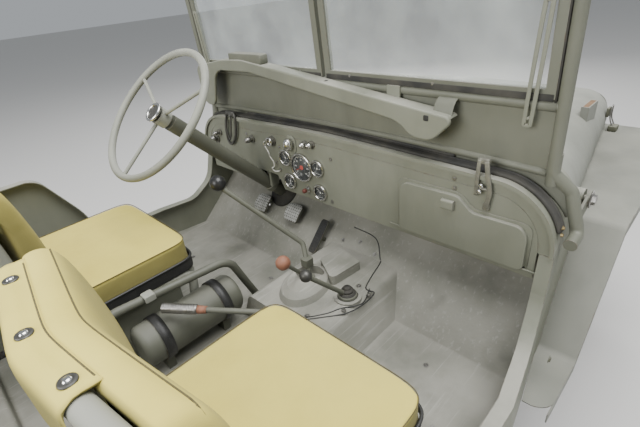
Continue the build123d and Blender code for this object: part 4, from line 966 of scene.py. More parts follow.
def apron_shell(side):
    """Rows run from the lower curve to the upper one, and back again 3 mm further forward."""
    lower_angle = np.radians(np.linspace(24.0, 88.0, 30))
    lower = np.stack([SHOULDER_Y + 0.1532 * np.cos(lower_angle), SHOULDER_Z + 0.1532 * np.sin(lower_angle)],
                     axis=-1)
    lower = np.vstack([lower, [(0.50, 1.0334), (0.44, 1.0352), (0.38, 1.0372)]])
    upper = smooth_path(np.array([(0.7035, 0.9430), (0.6900, 0.9900), (0.6700, 1.0240), (0.6450, 1.0430),
                                  (0.5600, 1.0490), (0.4600, 1.0520), (0.3800, 1.0540)]), len(lower))
    share = np.linspace(0, 1, 9)[:, None, None]
    flat = lower[None] + (upper - lower)[None] * share
    lean = 0.4365 + 0.016 * np.clip((flat[..., 0] - 0.652) / 0.04, 0, 1)
    rear = np.stack([lean, side * flat[..., 0], flat[..., 1]], axis=-1)
    grid = np.concatenate([rear, rear[::-1] + (0.003, 0, 0)])
    ends = [[row * len(lower) + column for row in range(len(grid))] for column in (0, len(lower) - 1)]
    return grid.reshape(-1, 3), grid_faces(len(grid), len(lower), close_rows=True) + ends


mesh_piece("windshield_aprons", [apron_shell(-1), apron_shell(1)], shaded_panel_paint, "windshield")
studs = []
for side in (-1, 1):
    studs += bolt_shells([(0.404, side * 0.7003, z) for z in (0.940, 0.922)], (0, side, 0), 0.0036, 0.0050)
mesh_piece("cowl_studs", studs, brass, "tub", smooth=False)
print("apron faces:", added_pieces["windshield_aprons"])

# %% [markdown]
# A slotted strap hangs at each side and holds its inner frame when it is swung open. Its outline is a
# long loop, and a flat section carried round the loop leaves the slot open. A plate with a hole cut in
# it would look the same, but needs a boolean. Nuts close the pivots at the windshield's feet.

# %% Adjusting arms


def adjusting_arm(side):
    """A slotted strap on the windshield's side and the stud that it slides on."""
    along = np.linspace(0, 2 * np.pi, 96, endpoint=False)
    half_length, half_width = 0.121, 0.0075
    s = np.clip(1.35 * np.cos(along), -1, 1) * (half_length - half_width) + half_width * np.cos(along)
    t = half_width * np.sign(np.sin(along)) * np.abs(np.sin(along)) ** 0.35
    middle = np.array([0.4052, side * 0.5975, 1.2735])
    up, across = unit((-0.045, side * 0.05, 1.0)), np.array([0, 1.0, 0])
    loop = middle + s[:, None] * up + t[:, None] * across
    stud = turned_shell([(0, 0), (0, 0.0030), (0.026, 0.0030), (0.026, 0)], (0.4070, side * 0.5922, 1.168),
                        (1, 0, 0), 20)
    return [swept_shell(loop, flat_section(0.0085, 0.0036, 12), (1, 0, 0), ring=True), stud]


arms = adjusting_arm(-1) + adjusting_arm(1)
mesh_piece("adjusting_arms", arms, body_paint, "windshield")
screw_places = [on_windshield(-0.0135, side * y, z) for side in (-1, 1) for y in (0.10, 0.36, 0.60)
                for z in (0.166, 0.522)]
screws = bolt_shells([(x + 0.0052, y, z) for x, y, z in screw_places], (-1, 0, 0), 0.0035, 0.0025)
mesh_piece("inner_frame_screws", screws, worn_steel, "windshield", smooth=False)
pivot_nuts = [turned_shell([(0, 0), (0, 0.021), (0.002, 0.022), (0.003, 0.013), (0.011, 0.012), (0.011, 0)],
                           (0.536, side * 0.7165, 0.958), (0, side, 0), 6) for side in (-1, 1)]
mesh_piece("pivot_nuts", pivot_nuts, worn_steel, "windshield", smooth=False)
print("arms:", added_pieces["adjusting_arms"], "faces")

# %% [markdown]
# The glovebox door laps its opening. The lap is a thin strip carried round the door's sides and top:
# straight runs, joined by a bend at each corner. It stops above the hinge, so that the door can swing.
# It could be an inset of the door's face, but a strip leaves the CAD mesh as it is.

# %% Door lap
DOOR_CORNERS = np.array([(-0.294, 0.822), (-0.294, 0.963), (-0.466, 0.963), (-0.506, 0.928),
                         (-0.641, 0.928), (-0.641, 0.822)])
BEND_REACH = 0.0176


def bent_line(corners, reach, steps=10):
    """A line with its inner corners cut by the curve (1-t)^2 a + 2t(1-t) corner + t^2 b, where a and b
    lie on the two sides at this reach from the corner."""
    t = np.linspace(0, 1, steps)[:, None]
    parts = [corners[:1]]
    for before, corner, after in zip(corners, corners[1:], corners[2:]):
        a = corner + unit(before - corner) * reach
        b = corner + unit(after - corner) * reach
        parts.append((1 - t) ** 2 * a + 2 * t * (1 - t) * corner + t * t * b)
    return np.vstack(parts + [corners[-1:]])


door_edge = bent_line(DOOR_CORNERS, BEND_REACH)
lap_path = np.column_stack([np.full(len(door_edge), 0.3852), door_edge])
mesh_piece("glovebox_lap", [swept_shell(lap_path, flat_section(0.016, 0.0022, 16), (1, 0, 0))], body_paint,
           "glovebox_door")
print("door lap:", len(door_edge), "stations")

# %% [markdown]
# Two catches pull the windshield down on its seal. The right one is two narrow links side by side with
# two bright pins between them, hung over the dash rim. The left one has let go, so its loop hangs loose.
# Each link is a flat or round section carried along a few stops, which is how such a strap is bent.

# %% Catches
catch_steel = plain_metal("catch_steel", (0.23, 0.225, 0.185), 0.5, metallic=0.5, grime=0.6)
inner_link = smooth_path([(0.3785, -0.5120, 1.070), (0.3760, -0.5118, 1.045), (0.3755, -0.5112, 1.010),
                          (0.3762, -0.5107, 0.980)], 24)
outer_link = smooth_path([(0.3785, -0.5290, 1.068), (0.3760, -0.5355, 1.036), (0.3752, -0.5435, 0.998),
                          (0.3755, -0.5415, 0.975), (0.3762, -0.5370, 0.953)], 32)
cross_pin = [(0, 0), (0, 0.0036), (0.038, 0.0036), (0.038, 0)]
mesh_piece("right_catch", [swept_shell(inner_link, flat_section(0.0095, 0.0040, 16), (1, 0, 0)),
                           swept_shell(outer_link, flat_section(0.0115, 0.0040, 16), (1, 0, 0)),
                           turned_shell(cross_pin, (0.3790, -0.5470, 0.9985), (0, 1, 0), 16),
                           box_shell((0.3765, -0.5350, 1.0600), (0.3920, -0.5060, 1.0740), 0.4),
                           box_shell((0.3760, -0.5455, 0.9440), (0.3872, -0.5290, 0.9620), 0.4)],
           catch_steel, "tub")
PIN_HEAD = [(0, 0), (0, 0.0062), (-0.0028, 0.0055), (-0.0034, 0)]
pin_heads = [turned_shell(PIN_HEAD, (0.3737, y, z), (1, 0, 0), 20)
             for y, z in ((-0.5225, 1.008), (-0.5195, 0.992))]
mesh_piece("catch_screws", pin_heads, chrome, "tub")
loop_stops = [(0.3795, 0.452, 1.050), (0.3770, 0.440, 1.026), (0.3770, 0.456, 0.965),
              (0.3770, 0.492, 0.924), (0.3770, 0.514, 0.936), (0.3770, 0.512, 0.994),
              (0.3770, 0.497, 1.030), (0.3795, 0.482, 1.050)]
inner_stops = [(0.3730, 0.462, 1.044), (0.3700, 0.470, 0.990), (0.3700, 0.489, 0.945),
               (0.3700, 0.499, 0.990), (0.3730, 0.486, 1.044)]
outer_loop = smooth_path(loop_stops, 72, ring=True)
inner_loop = smooth_path(inner_stops, 60, ring=True)
mesh_piece("left_catch", [swept_shell(outer_loop, round_section(0.0048, 10), (1, 0, 0), ring=True),
                          swept_shell(inner_loop, round_section(0.0030, 10), (1, 0, 0), ring=True),
                          box_shell((0.372, 0.446, 1.040), (0.392, 0.492, 1.058), 0.4)], dark_steel, "tub")
print("catch faces:", added_pieces["right_catch"] + added_pieces["left_catch"])

# %% [markdown]
# The empty tray under the windshield hangs from the mid rail by a bent strip at its right end, and
# rests on a block at its left. Dark patches of painted shade stand for the dark openings of the slots
# in its roof and its end plate.

# %% Holder fittings
tray_strip = smooth_path([(0.3900, -0.405, 1.150), (0.3935, -0.405, 1.166), (0.4010, -0.405, 1.180),
                          (0.4110, -0.405, 1.1885), (0.4205, -0.405, 1.1905)], 30)
tray_parts = [box_shell((0.3760, 0.236, 1.236), (0.4120, 0.412, 1.268), 0.18),
              swept_shell(tray_strip, flat_section(0.0030, 0.050, 20), (0, 1, 0))]
mesh_piece("holder_brackets", tray_parts, shaded_panel_paint, "windshield")
# Painted shade: thin black patches where the slots' openings look dark.
slot_shade_patches = [box_shell((0.3822, -0.036, 1.2020), (0.4050, 0.041, 1.2060), 0.5),
              box_shell((0.3702, -0.380, 1.142), (0.3716, -0.366, 1.156), 0.4),
              box_shell((0.382, 0.4105, 1.241), (0.406, 0.4128, 1.263), 0.3)]
mesh_piece("holder_slot_shade", slot_shade_patches, rim_black, "windshield")
print("holder fittings:", added_pieces["holder_brackets"] + added_pieces["holder_slot_shade"], "faces")

# %% [markdown]
# ## Tunnel, pedals and levers
#
# Black sealant squeezed out under the gearbox covers draws their outline on the tunnel. Bolts hold
# the covers and the floor boards. The line could be painted by a mask, but a thin round section carried
# along the outline catches light as the real bead does.

# %% Tunnel fittings
TUNNEL_TOP, FLOOR_TOP = 0.6402, 0.5352
gasket = [(0.4515, -0.055, 0.6935), (0.4445, -0.153, 0.6865), (0.4055, -0.199, 0.6475),
          (0.392, -0.209, 0.6405), (0.269, -0.248, 0.6405), (0.258, -0.286, 0.6405),
          (0.156, -0.280, 0.6405), (0.055, -0.202, 0.6405)]
second_line = [(0.268, -0.262, 0.6405), (0.205, -0.285, 0.6405), (0.150, -0.250, 0.6405),
               (0.110, -0.232, 0.6405), (0.052, -0.190, 0.6405)]
mesh_piece("cover_gasket", [swept_shell(smooth_path(line, 90), round_section(0.0019, 8))
                            for line in (gasket, second_line)], rim_black, "tub")
top_spots = ((0.260, -0.228), (0.246, -0.277), (0.150, -0.262), (0.070, -0.195), (0.120, 0.020))
floor_spots = ((0.208, -0.494), (0.130, -0.340), (0.060, -0.600), (-0.086, -0.333), (0.100, 0.500))
top_bolts = [(x, y, TUNNEL_TOP) for x, y in top_spots]
floor_bolts = [(x, y, FLOOR_TOP) for x, y in floor_spots]
toe_normal = unit((-1, 0, 1))
toe_bolts = [(0.412, -0.035, 0.6535), (0.423, -0.103, 0.6645), (0.409, -0.175, 0.6505)]
bolts = bolt_shells(top_bolts + floor_bolts, (0, 0, 1), 0.0055, 0.0045)
bolts += bolt_shells(toe_bolts, toe_normal, 0.0055, 0.0045)
mesh_piece("floor_bolts", bolts, worn_steel, "tub", smooth=False)
print("bolts on the floor:", len(bolts))

# %% [markdown]
# A rubber boot closes each hole that a lever or the steering column comes through, and three levers
# end in balls. All are turned shells: the boot's folds are a wave added to the radius of a cone.

# %% Boots and knobs


def folded_boot(centre, radius, height, folds):
    """A rubber boot: a cone whose radius swells by a wave at each fold."""
    s = np.linspace(0, 1, 8 * folds)
    r = radius * (1 - 0.62 * s) + 0.0016 * np.sin(2 * np.pi * folds * s)
    profile = np.vstack([[(0, 0)], np.stack([height * s, r], axis=-1), [(height, 0)]])
    return turned_shell(profile, centre, (0, 0, 1), 40)


column_ring = [(-0.002, 0.0252), (-0.002, 0.0660), (0.003, 0.0640), (0.006, 0.0420), (0.016, 0.0300),
               (0.018, 0.0252)]
grommet = turned_shell(column_ring, (0.4735, 0.331, 0.7195), (-1, 0, 1), 40, ring=True)
mesh_piece("column_grommet", [grommet], black_rubber, "tub")
lever_boot = folded_boot((0.203, -0.232, 0.6404), 0.0312, 0.034, 3)
mesh_piece("lever_boot", [lever_boot], black_rubber, "tub")
KNOBS = [("shift_knob", (0.083, 0.150, 0.958), 0.0243, knob_black),
         ("front_drive_knob", (0.080, -0.110, 0.780), 0.0213, knob_brown),
         ("transfer_knob", (0.077, -0.204, 0.780), 0.0173, dark_steel)]
for name, centre, radius, finish in KNOBS:
    angle = np.linspace(0, np.pi, 19)
    ball = np.stack([-radius * np.cos(angle), radius * np.sin(angle)], axis=-1)
    mesh_piece(name, [turned_shell(ball, centre, (0.4, -0.5, -0.75), 32)], finish, "tub")
print("boots and knobs:", 2 + len(KNOBS))

# %% [markdown]
# Shoes have polished the pedals, so their treads are bright shells over the CAD pads. A tread is a
# rounded square of rings on the pad's own curve, and studs or ribs are a wave added to its height.
# Separate studs would need thousands of faces for marks that are 1 mm high.

# %% Pedal treads


def tread_shell(centre, half_y, half_z, curve, pattern, lift=0.0016):
    """A tread over a pad: rings of a rounded square on the pad's curve, raised by a pattern, and the
    same grid again just under it, so that the shell is closed. It is turned 45 degrees towards the foot."""
    ring = np.linspace(0, 1, 40)[:, None]
    angle = np.linspace(0, 2 * np.pi, 120, endpoint=False)[None]
    edge = 1 / (np.abs(np.cos(angle)) ** 6 + np.abs(np.sin(angle)) ** 6) ** (1 / 6)
    y, z = half_y * ring * edge * np.cos(angle), half_z * ring * edge * np.sin(angle)
    fade = np.clip((1 - ring) * 9, 0, 1)
    x_outer = curve(z) - lift - pattern(y, z) * fade
    outer, inner = np.stack([x_outer, y, z], axis=-1), np.stack([curve(z) + 0.0005 + 0 * y, y, z], axis=-1)
    grid = np.concatenate([outer, inner[::-1]])
    c = math.sqrt(0.5)
    turn = np.array([[c, 0, c], [0, 1, 0], [-c, 0, c]])
    points = grid @ turn.T + np.asarray(centre)
    return points.reshape(-1, 3), grid_faces(len(grid), 120, close_columns=True)


def pad_curve(z):
    """The pad's face: a circle of radius 76 mm about a line 69 mm behind it."""
    return 0.069 - np.sqrt(0.076**2 - z**2)


def raised_dots(y, z):
    """Studs 9 mm apart: two cosine waves multiplied."""
    return 0.0012 * np.clip(np.cos(2 * np.pi * y / 0.009) * np.cos(2 * np.pi * z / 0.009) - 0.1, 0, 1)


def flat_face(z):
    """The treadle is flat, and its face lies 4.1 mm before its middle."""
    return -0.0041 + 0 * z


def cross_ribs(_, z):
    """Ribs across the treadle, 10 mm apart."""
    return 0.0009 * (np.cos(2 * np.pi * z / 0.010) > 0.2)


def studded(name, pitch=0.0105):
    """Grey steel worn bright, with a lattice of dimples darkened as painted shade: two waves, one along
    the pad's slope and one across it, and dark where both are low."""
    material, tree, shader, spot = start_material(name)
    turned = add_node(tree, "ShaderNodeMapping", {"Rotation": (0, math.radians(45), 0)})
    tree.links.new(spot, turned.inputs["Vector"])
    factor = None
    for direction in ("X", "Y"):
        wave = add_node(tree, "ShaderNodeTexWave", {"Scale": 2 * math.pi / (20 * pitch)},
                        bands_direction=direction)
        tree.links.new(turned.outputs["Vector"], wave.inputs["Vector"])
        factor = wave.outputs["Fac"] if factor is None else join_factors(tree, factor, wave.outputs["Fac"])
    dimple = add_node(tree, "ShaderNodeMapRange", {"From Min": 0.45, "From Max": 0.65})
    tree.links.new(factor, dimple.inputs["Value"])
    steel = mix_colours(tree, noise_factor(tree, spot, 50.0, 5, 0.35, 0.65), (0.30, 0.30, 0.275),
                        (0.44, 0.44, 0.41))
    # Painted shade: the steel is mixed to near black in the dimples.
    tree.links.new(mix_colours(tree, dimple.outputs["Result"], steel, (0.075, 0.073, 0.065)),
                   shader.inputs["Base Color"])
    shader.inputs["Roughness"].default_value = 0.5
    bump_surface(tree, shader, dimple.outputs["Result"], -0.6, 0.001)
    return material


studded_tread = studded("studded_tread")
treads = [tread_shell(place, 0.0352, 0.0352, pad_curve, raised_dots)
          for place in ((0.398, 0.385, 0.684), (0.402, 0.205, 0.692))]
mesh_piece("pedal_treads", treads, studded_tread, "tub")
treadle = tread_shell((0.370, 0.043, 0.661), 0.0155, 0.0635, flat_face, cross_ribs)
mesh_piece("treadle_cover", [treadle], black_rubber, "tub")
print("treads:", added_pieces["pedal_treads"] + added_pieces["treadle_cover"], "faces")

# %% [markdown]
# ## Between the seats
#
# The cylinder is held by two black straps. The lever in front of it has a bare metal grip that ends
# in a red-brown band. A small bracket is clipped on the guard tube. The grip's knurling is a square
# wave along its profile, so it stays one turned shell.

# %% Gap fittings
straps = [turned_shell([(-0.0135, 0.0642), (-0.0135, 0.0656), (0.0135, 0.0656), (0.0135, 0.0642)],
                       (x, 0.072, 0.640), (1, 0, 0), 72, ring=True) for x in (-0.240, -0.050)]
mesh_piece("cylinder_straps", straps, rim_black, "tub")
grip_start, grip_end = np.array([-0.2165, 0.0486, 0.7381]), np.array([-0.1580, -0.0260, 0.7327])
grip_way = unit(grip_end - grip_start)
grip_length = float(np.linalg.norm(grip_end - grip_start))
u = np.linspace(0, 1, 40)
knurl = 0.0136 + 0.0004 * np.sign(np.sin(2 * np.pi * 14 * u))
grip = np.vstack([[(-0.003, 0), (-0.003, 0.009)], np.stack([grip_length * u, knurl], axis=-1),
                  [(grip_length + 0.002, 0.009), (grip_length + 0.002, 0)]])
mesh_piece("lever_grip", [turned_shell(grip, grip_start, grip_way, 32)], worn_steel, "tub")
band = [(0.0, 0), (0.0, 0.0112), (0.026, 0.0100), (0.026, 0)]
mesh_piece("grip_band", [turned_shell(band, grip_end, grip_way, 28)], knob_brown, "tub")
mesh_piece("tube_bracket", [box_shell((-0.245, 0.074, 0.7695), (-0.215, 0.102, 0.7765), 0.3),
                            box_shell((-0.245, 0.072, 0.757), (-0.215, 0.0765, 0.776), 0.3)],
           seat_tube_paint, "tub")
print("grip length:", round(grip_length, 3))

# %% [markdown]
# ## Cushions
#
# Each seat pad is sewn from panels round a seam. The pad starts as a box of small squares whose plan
# is rounded, and cloth simulation blows it up from inside while the seams hold. That gives the crown,
# the belly of the side band and the small puckers at the corners. How far a point may move is capped.

# %% Sewn pads
PAD_FRAMES = 20


def box_grid(cells):
    """The surface of a box from -1 to 1 as six grids of squares, with shared edges merged."""
    shells = []
    for axis in range(3):
        others = [n for n in range(3) if n != axis]
        a, b = np.meshgrid(*(np.linspace(-1, 1, cells[n] + 1) for n in others), indexing="ij")
        for side in (-1, 1):
            points = np.empty((*a.shape, 3))
            points[..., others[0]], points[..., others[1]], points[..., axis] = a, b, side
            shells.append((points, grid_faces(*a.shape)))
    points, faces = stack_shells(shells)
    merged, where = np.unique(np.round(points, 6), axis=0, return_inverse=True)
    return merged, where.ravel()[np.array(faces)].tolist()


def rounded_plan(x, y, power):
    """Squares become rounded squares: p * max(|x|, |y|) / (|x|^n + |y|^n)^(1/n)."""
    size = (np.abs(x) ** power + np.abs(y) ** power) ** (1 / power)
    factor = np.maximum(np.abs(x), np.abs(y)) / np.where(size > 0, size, 1)
    return x * factor, y * factor


def blown_up(points, faces, held, pressure, cap):
    """Cloth simulation from rest with pressure inside and gravity off. Held points stay, and no point
    ends further from its start than the cap."""
    mesh = bpy.data.meshes.new("pad_cloth")
    mesh.from_pydata(points.tolist(), [], faces)
    shape = bmesh.new()
    shape.from_mesh(mesh)
    bmesh.ops.recalc_face_normals(shape, faces=shape.faces)
    shape.to_mesh(mesh)
    shape.free()
    pad = bpy.data.objects.new("pad_cloth", mesh)
    bpy.context.collection.objects.link(pad)
    group = pad.vertex_groups.new(name="held")
    group.add(np.flatnonzero(held).tolist(), 1.0, "ADD")
    cloth = pad.modifiers.new("cloth", "CLOTH")
    cloth.settings.quality = 6
    cloth.settings.mass = 0.25
    cloth.settings.tension_stiffness = 12
    cloth.settings.compression_stiffness = 12
    cloth.settings.shear_stiffness = 4
    cloth.settings.bending_stiffness = 0.6
    cloth.settings.use_pressure = True
    cloth.settings.uniform_pressure_force = pressure
    cloth.settings.vertex_group_mass = "held"
    cloth.settings.effector_weights.gravity = 0
    cloth.point_cache.frame_start, cloth.point_cache.frame_end = 1, PAD_FRAMES
    for frame_number in range(1, PAD_FRAMES + 1):
        bpy.context.scene.frame_set(frame_number)
    moved = np.empty(len(points) * 3)
    evaluated = pad.evaluated_get(bpy.context.evaluated_depsgraph_get())
    evaluated.data.vertices.foreach_get("co", moved)
    bpy.data.objects.remove(pad)
    bpy.context.scene.frame_set(1)
    offset = moved.reshape(-1, 3) - points
    length = np.linalg.norm(offset, axis=1, keepdims=True)
    return points + offset * np.minimum(1, cap / np.maximum(length, 1e-9))


print("cloth frames:", PAD_FRAMES)

# %% [markdown]
# A boxed pad has a top panel, a bottom panel and a band between them, sewn along two seams. The seams
# are held while the cloth is blown up, so they stay where the seat carries them. A block with soft
# edges would have no puckers, and points moved one by one rarely look like cloth.

# %% Boxed pads


def sewn_pad(name, centre, half, cells, body, nodes_replaced, plan=10, lean=0.0, pressure=4.0, cap=0.012,
             sag=0.0):
    """A boxed cushion. The seams run round the top and the bottom panel, and sag lowers them towards
    the corners. Returns the two seam loops' points."""
    cube, faces = box_grid(cells)
    x, y = rounded_plan(cube[:, 0], cube[:, 1], plan)
    reach = np.maximum(np.abs(cube[:, 0]), np.abs(cube[:, 1]))
    held = (np.abs(cube[:, 2]) > 0.999) & (reach > 0.999)
    dome = (1 - cube[:, 0] ** 2) * (1 - cube[:, 1] ** 2)
    crown = np.where(cube[:, 2] > 0, dome * 0.010 - sag * (1 - dome) * np.clip(cube[:, 2], 0, 1), 0)
    local = np.stack([x * half[0], y * half[1], cube[:, 2] * half[2] + crown], axis=-1)
    local = blown_up(local, faces, held, pressure, cap)
    c, s = math.cos(lean), math.sin(lean)
    turn = np.array([[c, 0, s], [0, 1, 0], [-s, 0, c]])
    points = local @ turn.T + np.asarray(centre)
    piece = mesh_piece(name, [(points, faces)], canvas, body)
    finer = piece.modifiers.new("finer", "SUBSURF")
    finer.levels = finer.render_levels = 1
    if nodes_replaced:
        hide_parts(*nodes_replaced)
    turn_angle = np.linspace(0, 2 * np.pi, 240, endpoint=False)
    edge_x, edge_y = np.cos(turn_angle), np.sin(turn_angle)
    square = np.maximum(np.abs(edge_x), np.abs(edge_y))
    edge_x, edge_y = rounded_plan(edge_x / square, edge_y / square, plan)
    loops = []
    for side in (1, -1):
        height = half[2] - sag if side > 0 else -half[2]
        loop = np.stack([edge_x * half[0], edge_y * half[1], np.full_like(edge_x, height)], axis=-1)
        loops.append(loop @ turn.T + np.asarray(centre))
    return loops


def seam_cord(name, loops, body, material, radius):
    """A sewn edge: a thin cord that follows each loop."""
    mesh_piece(name, [swept_shell(loop, round_section(radius, 8), (0.02, 0.03, 1), ring=True)
                      for loop in loops], material, body)


def dark_thread(name):
    """Stitching and the shadowed edge of a seam: brown-black cotton with a twist along it."""
    material, tree, shader, spot = start_material(name)
    twist = noise_factor(tree, spot, 900.0, 2, 0.4, 0.6)
    tree.links.new(mix_colours(tree, twist, (0.075, 0.062, 0.030), (0.16, 0.135, 0.06)),
                   shader.inputs["Base Color"])
    shader.inputs["Roughness"].default_value = 0.9
    return material


print("pad and seam makers ready")

# %% [markdown]
# The driver's pad is thick and lies above the fuel tank. The passenger's is thinner and sags towards
# its corners, and the rear bench has a wide pad and a back that leans. Cords along the seams stand for
# the stitched edge and its shadow, because a seam drawn only in the finish would look flat.

# %% Front and rear pads
seam_dark = dark_thread("seam_dark")
DRIVER_Y, PASSENGER_Y = 0.354, -0.440
SEAT_X = -0.238
driver_seams = sewn_pad("driver_seat_pad", (SEAT_X, DRIVER_Y, 0.7905), (0.186, 0.207, 0.0425), (30, 34, 8),
                        "tub", ["driver_cushions"], cap=0.012)
seam_cord("driver_seat_seams", driver_seams, "tub", seam_dark, 0.0013)
passenger_seams = sewn_pad("passenger_seat_pad", (SEAT_X, PASSENGER_Y, 0.7790), (0.187, 0.209, 0.0330),
                           (30, 34, 6), "passenger_seat", ["passenger_cushions"], sag=0.010, cap=0.012)
seam_cord("passenger_seat_seams", passenger_seams, "passenger_seat", seam_dark, 0.0012)
rear_seams = sewn_pad("rear_seat_pad", (-0.860, 0, 0.7965), (0.178, 0.400, 0.0400), (24, 52, 6), "tub",
                      ["rear_cushions"], cap=0.010)
sewn_pad("rear_back_pad", (-1.060, 0, 0.990), (0.034, 0.398, 0.138), (6, 52, 20), "tub", [],
         lean=math.radians(-7), plan=6, cap=0.008)
seam_cord("rear_seat_seams", rear_seams, "tub", seam_dark, 0.0013)
print("pads:", [added_pieces[n] for n in ("driver_seat_pad", "passenger_seat_pad", "rear_seat_pad",
                                          "rear_back_pad")])

# %% [markdown]
# The seat's back is a canvas cover filled in front and folded over the top tube behind. Its section
# is drawn once, in a plane across the seat, and carried along the bowed tube. The loose part that
# goes over the tube ends before the corner, where the bare tube shows, and three snaps close it. A
# cloth simulation could fill it too, but the drawn section keeps the flap close to the tube.

# %% Seat backs
TUBE_X, TUBE_BOW, TUBE_Z, SEAT_HALF = -0.482, 0.028, 1.146, 0.200
BACK_SECTION = [(0.0165, 0.000), (0.0180, 0.012), (0.0240, 0.0185), (0.0370, 0.0200), (0.0500, 0.0160),
                (0.0620, 0.003), (0.0740, -0.028), (0.0880, -0.090), (0.1000, -0.170), (0.1040, -0.250),
                (0.0980, -0.296), (0.0780, -0.310), (0.0560, -0.300), (0.0440, -0.250), (0.0410, -0.120),
                (0.0370, -0.060), (0.0240, -0.024)]
FOLD_SECTION = [(0.0225, 0.0190), (0.0100, 0.0194), (0.0000, 0.0200), (-0.0120, 0.0155), (-0.0190, 0.0060),
                (-0.0205, -0.012), (-0.0200, -0.040), (-0.0195, -0.070), (-0.0172, -0.070),
                (-0.0174, -0.040), (-0.0178, -0.012), (-0.0162, 0.0045), (-0.0100, 0.0130),
                (0.0000, 0.0170), (0.0100, 0.0164), (0.0225, 0.0160)]


def tube_x(y, middle):
    """The bowed top tube: furthest back in the middle of the seat."""
    s = (y - middle) / SEAT_HALF
    return TUBE_X - TUBE_BOW * (1 - np.minimum(np.sqrt(s * s + 0.01), 1.06))


def carried_section(section, y, middle, squeeze=None):
    """Points tube_x(y) + u, y, TUBE_Z + w for each y. Squeeze pulls a row's u and w to its own middle."""
    section = np.asarray(section, dtype=float)
    heart = section.mean(axis=0)
    squeeze = np.ones(len(y)) if squeeze is None else squeeze
    rows = heart + (section[None] - heart) * squeeze[:, None, None]
    points = np.empty((len(y), len(section), 3))
    points[..., 0] = tube_x(y, middle)[:, None] + rows[..., 0]
    points[..., 1] = y[:, None]
    points[..., 2] = TUBE_Z + rows[..., 1]
    return points


def seat_back(name, middle, body):
    """The filled front of the back. Its ends taper a little and close with three smaller rows."""
    section = smooth_path(BACK_SECTION, 68, ring=True)
    t = np.linspace(-1, 1, 46)
    y = middle + 0.004 + 0.214 * t
    end = np.clip((1 - np.abs(t)) / 0.10, 0, 1)
    squeeze = 0.86 + 0.14 * np.sqrt(1 - (1 - end) ** 2)
    grid = carried_section(section, y, middle, squeeze)
    caps = []
    for row, outward in ((grid[0], -1), (grid[-1], 1)):
        heart = row.mean(axis=0)
        for shrink, push in ((0.80, 0.006), (0.45, 0.010), (0.0, 0.011)):
            caps.append((outward, heart + (row - heart) * shrink + (0, outward * push, 0)))
    first = [row for outward, row in caps if outward < 0][::-1]
    last = [row for outward, row in caps if outward > 0]
    grid = np.concatenate([first, grid, last])
    points, faces = grid.reshape(-1, 3), grid_faces(len(grid), len(section), close_columns=True)
    piece = mesh_piece(name, [(points, faces)], canvas, body)
    finer = piece.modifiers.new("finer", "SUBSURF")
    finer.levels = finer.render_levels = 1


def seam_on_back(name, middle, body, offsets, y_low, y_high, material, radius):
    """Seams that run across the seat at (u, w) of the section. Both ends sink into the cloth."""
    y = np.linspace(y_low, y_high, 60)
    sink = 0.011 * np.clip((np.abs(np.linspace(-1, 1, 60)) - 0.93) / 0.07, 0, 1) ** 2
    shells = [swept_shell(np.stack([tube_x(y, middle) + u, y, TUBE_Z + w - sink], axis=-1),
                          round_section(radius, 8)) for u, w in offsets]
    mesh_piece(name, shells, material, body)


def fold_over_tube(name, middle, body, y_low, y_high):
    """The cover's flap over the tube, a closed thin section carried along it."""
    section = smooth_path(FOLD_SECTION, 48, ring=True)
    grid = carried_section(section, np.linspace(y_low, y_high, 40), middle)
    faces = grid_faces(len(grid), len(section), close_columns=True)
    ring = list(range(len(section)))
    flat_ends = [ring[::-1], [n + (len(grid) - 1) * len(section) for n in ring]]
    piece = mesh_piece(name, [(grid.reshape(-1, 3), faces + flat_ends)], canvas, body)


print("stops on the back:", len(BACK_SECTION), "and on the fold:", len(FOLD_SECTION))

# %% [markdown]
# Both backs are the same piece at two places, each on its own seat, so one loop makes them. A snap is
# two turned shells: a dark ring in the cloth and a bright button in the ring. Copies of one object
# would save work, but the two ride on different bodies, and each piece is a mesh of its own.

# %% Both front backs
SNAP_RING = [(0, 0.0045), (0, 0.0098), (0.0012, 0.0094), (0.0024, 0.0070), (0.0016, 0.0045)]
SNAP_BUTTON = [(0, 0), (0, 0.0052), (0.0022, 0.0050), (0.0040, 0.0032), (0.0044, 0)]
for who, middle, body in (("driver", DRIVER_Y, "tub"), ("passenger", PASSENGER_Y, "passenger_seat")):
    seat_back(who + "_back_pad", middle, body)
    fold_over_tube(who + "_back_fold", middle, body, middle - 0.112, middle + 0.190)
    seam_on_back(who + "_back_seams", middle, body, [(0.0208, 0.0188)], middle - 0.112, middle + 0.186,
                 seam_dark, 0.0012)
    seam_on_back(who + "_back_welt", middle, body, [(0.0555, 0.0118)], middle - 0.204, middle + 0.212,
                 seam_dark, 0.0013)
    snap_y = np.array([middle + 0.144, middle + 0.015, middle - 0.090])
    places = np.stack([tube_x(snap_y, middle) + 0.003, snap_y, np.full(3, TUBE_Z + 0.0196)], axis=-1)
    rings = [turned_shell(SNAP_RING, place, (0, 0, 1), 28, ring=True) for place in places]
    mesh_piece(who + "_snap_rings", rings, dark_steel, body)
    buttons = [turned_shell(SNAP_BUTTON, place, (0, 0, 1), 20) for place in places]
    mesh_piece(who + "_snaps", buttons, chrome, body)
print("backs:", added_pieces["driver_back_pad"], "faces each")

# %% [markdown]
# Under each front seat's cushion is a black sheet pan, and its rolled rim shows as a shiny line below
# the canvas. It is a wall and a bead carried round the same rounded plan, so that the pan follows the
# cushion's edge at every point.

# %% Seat pans
PAN_Z = 0.7405


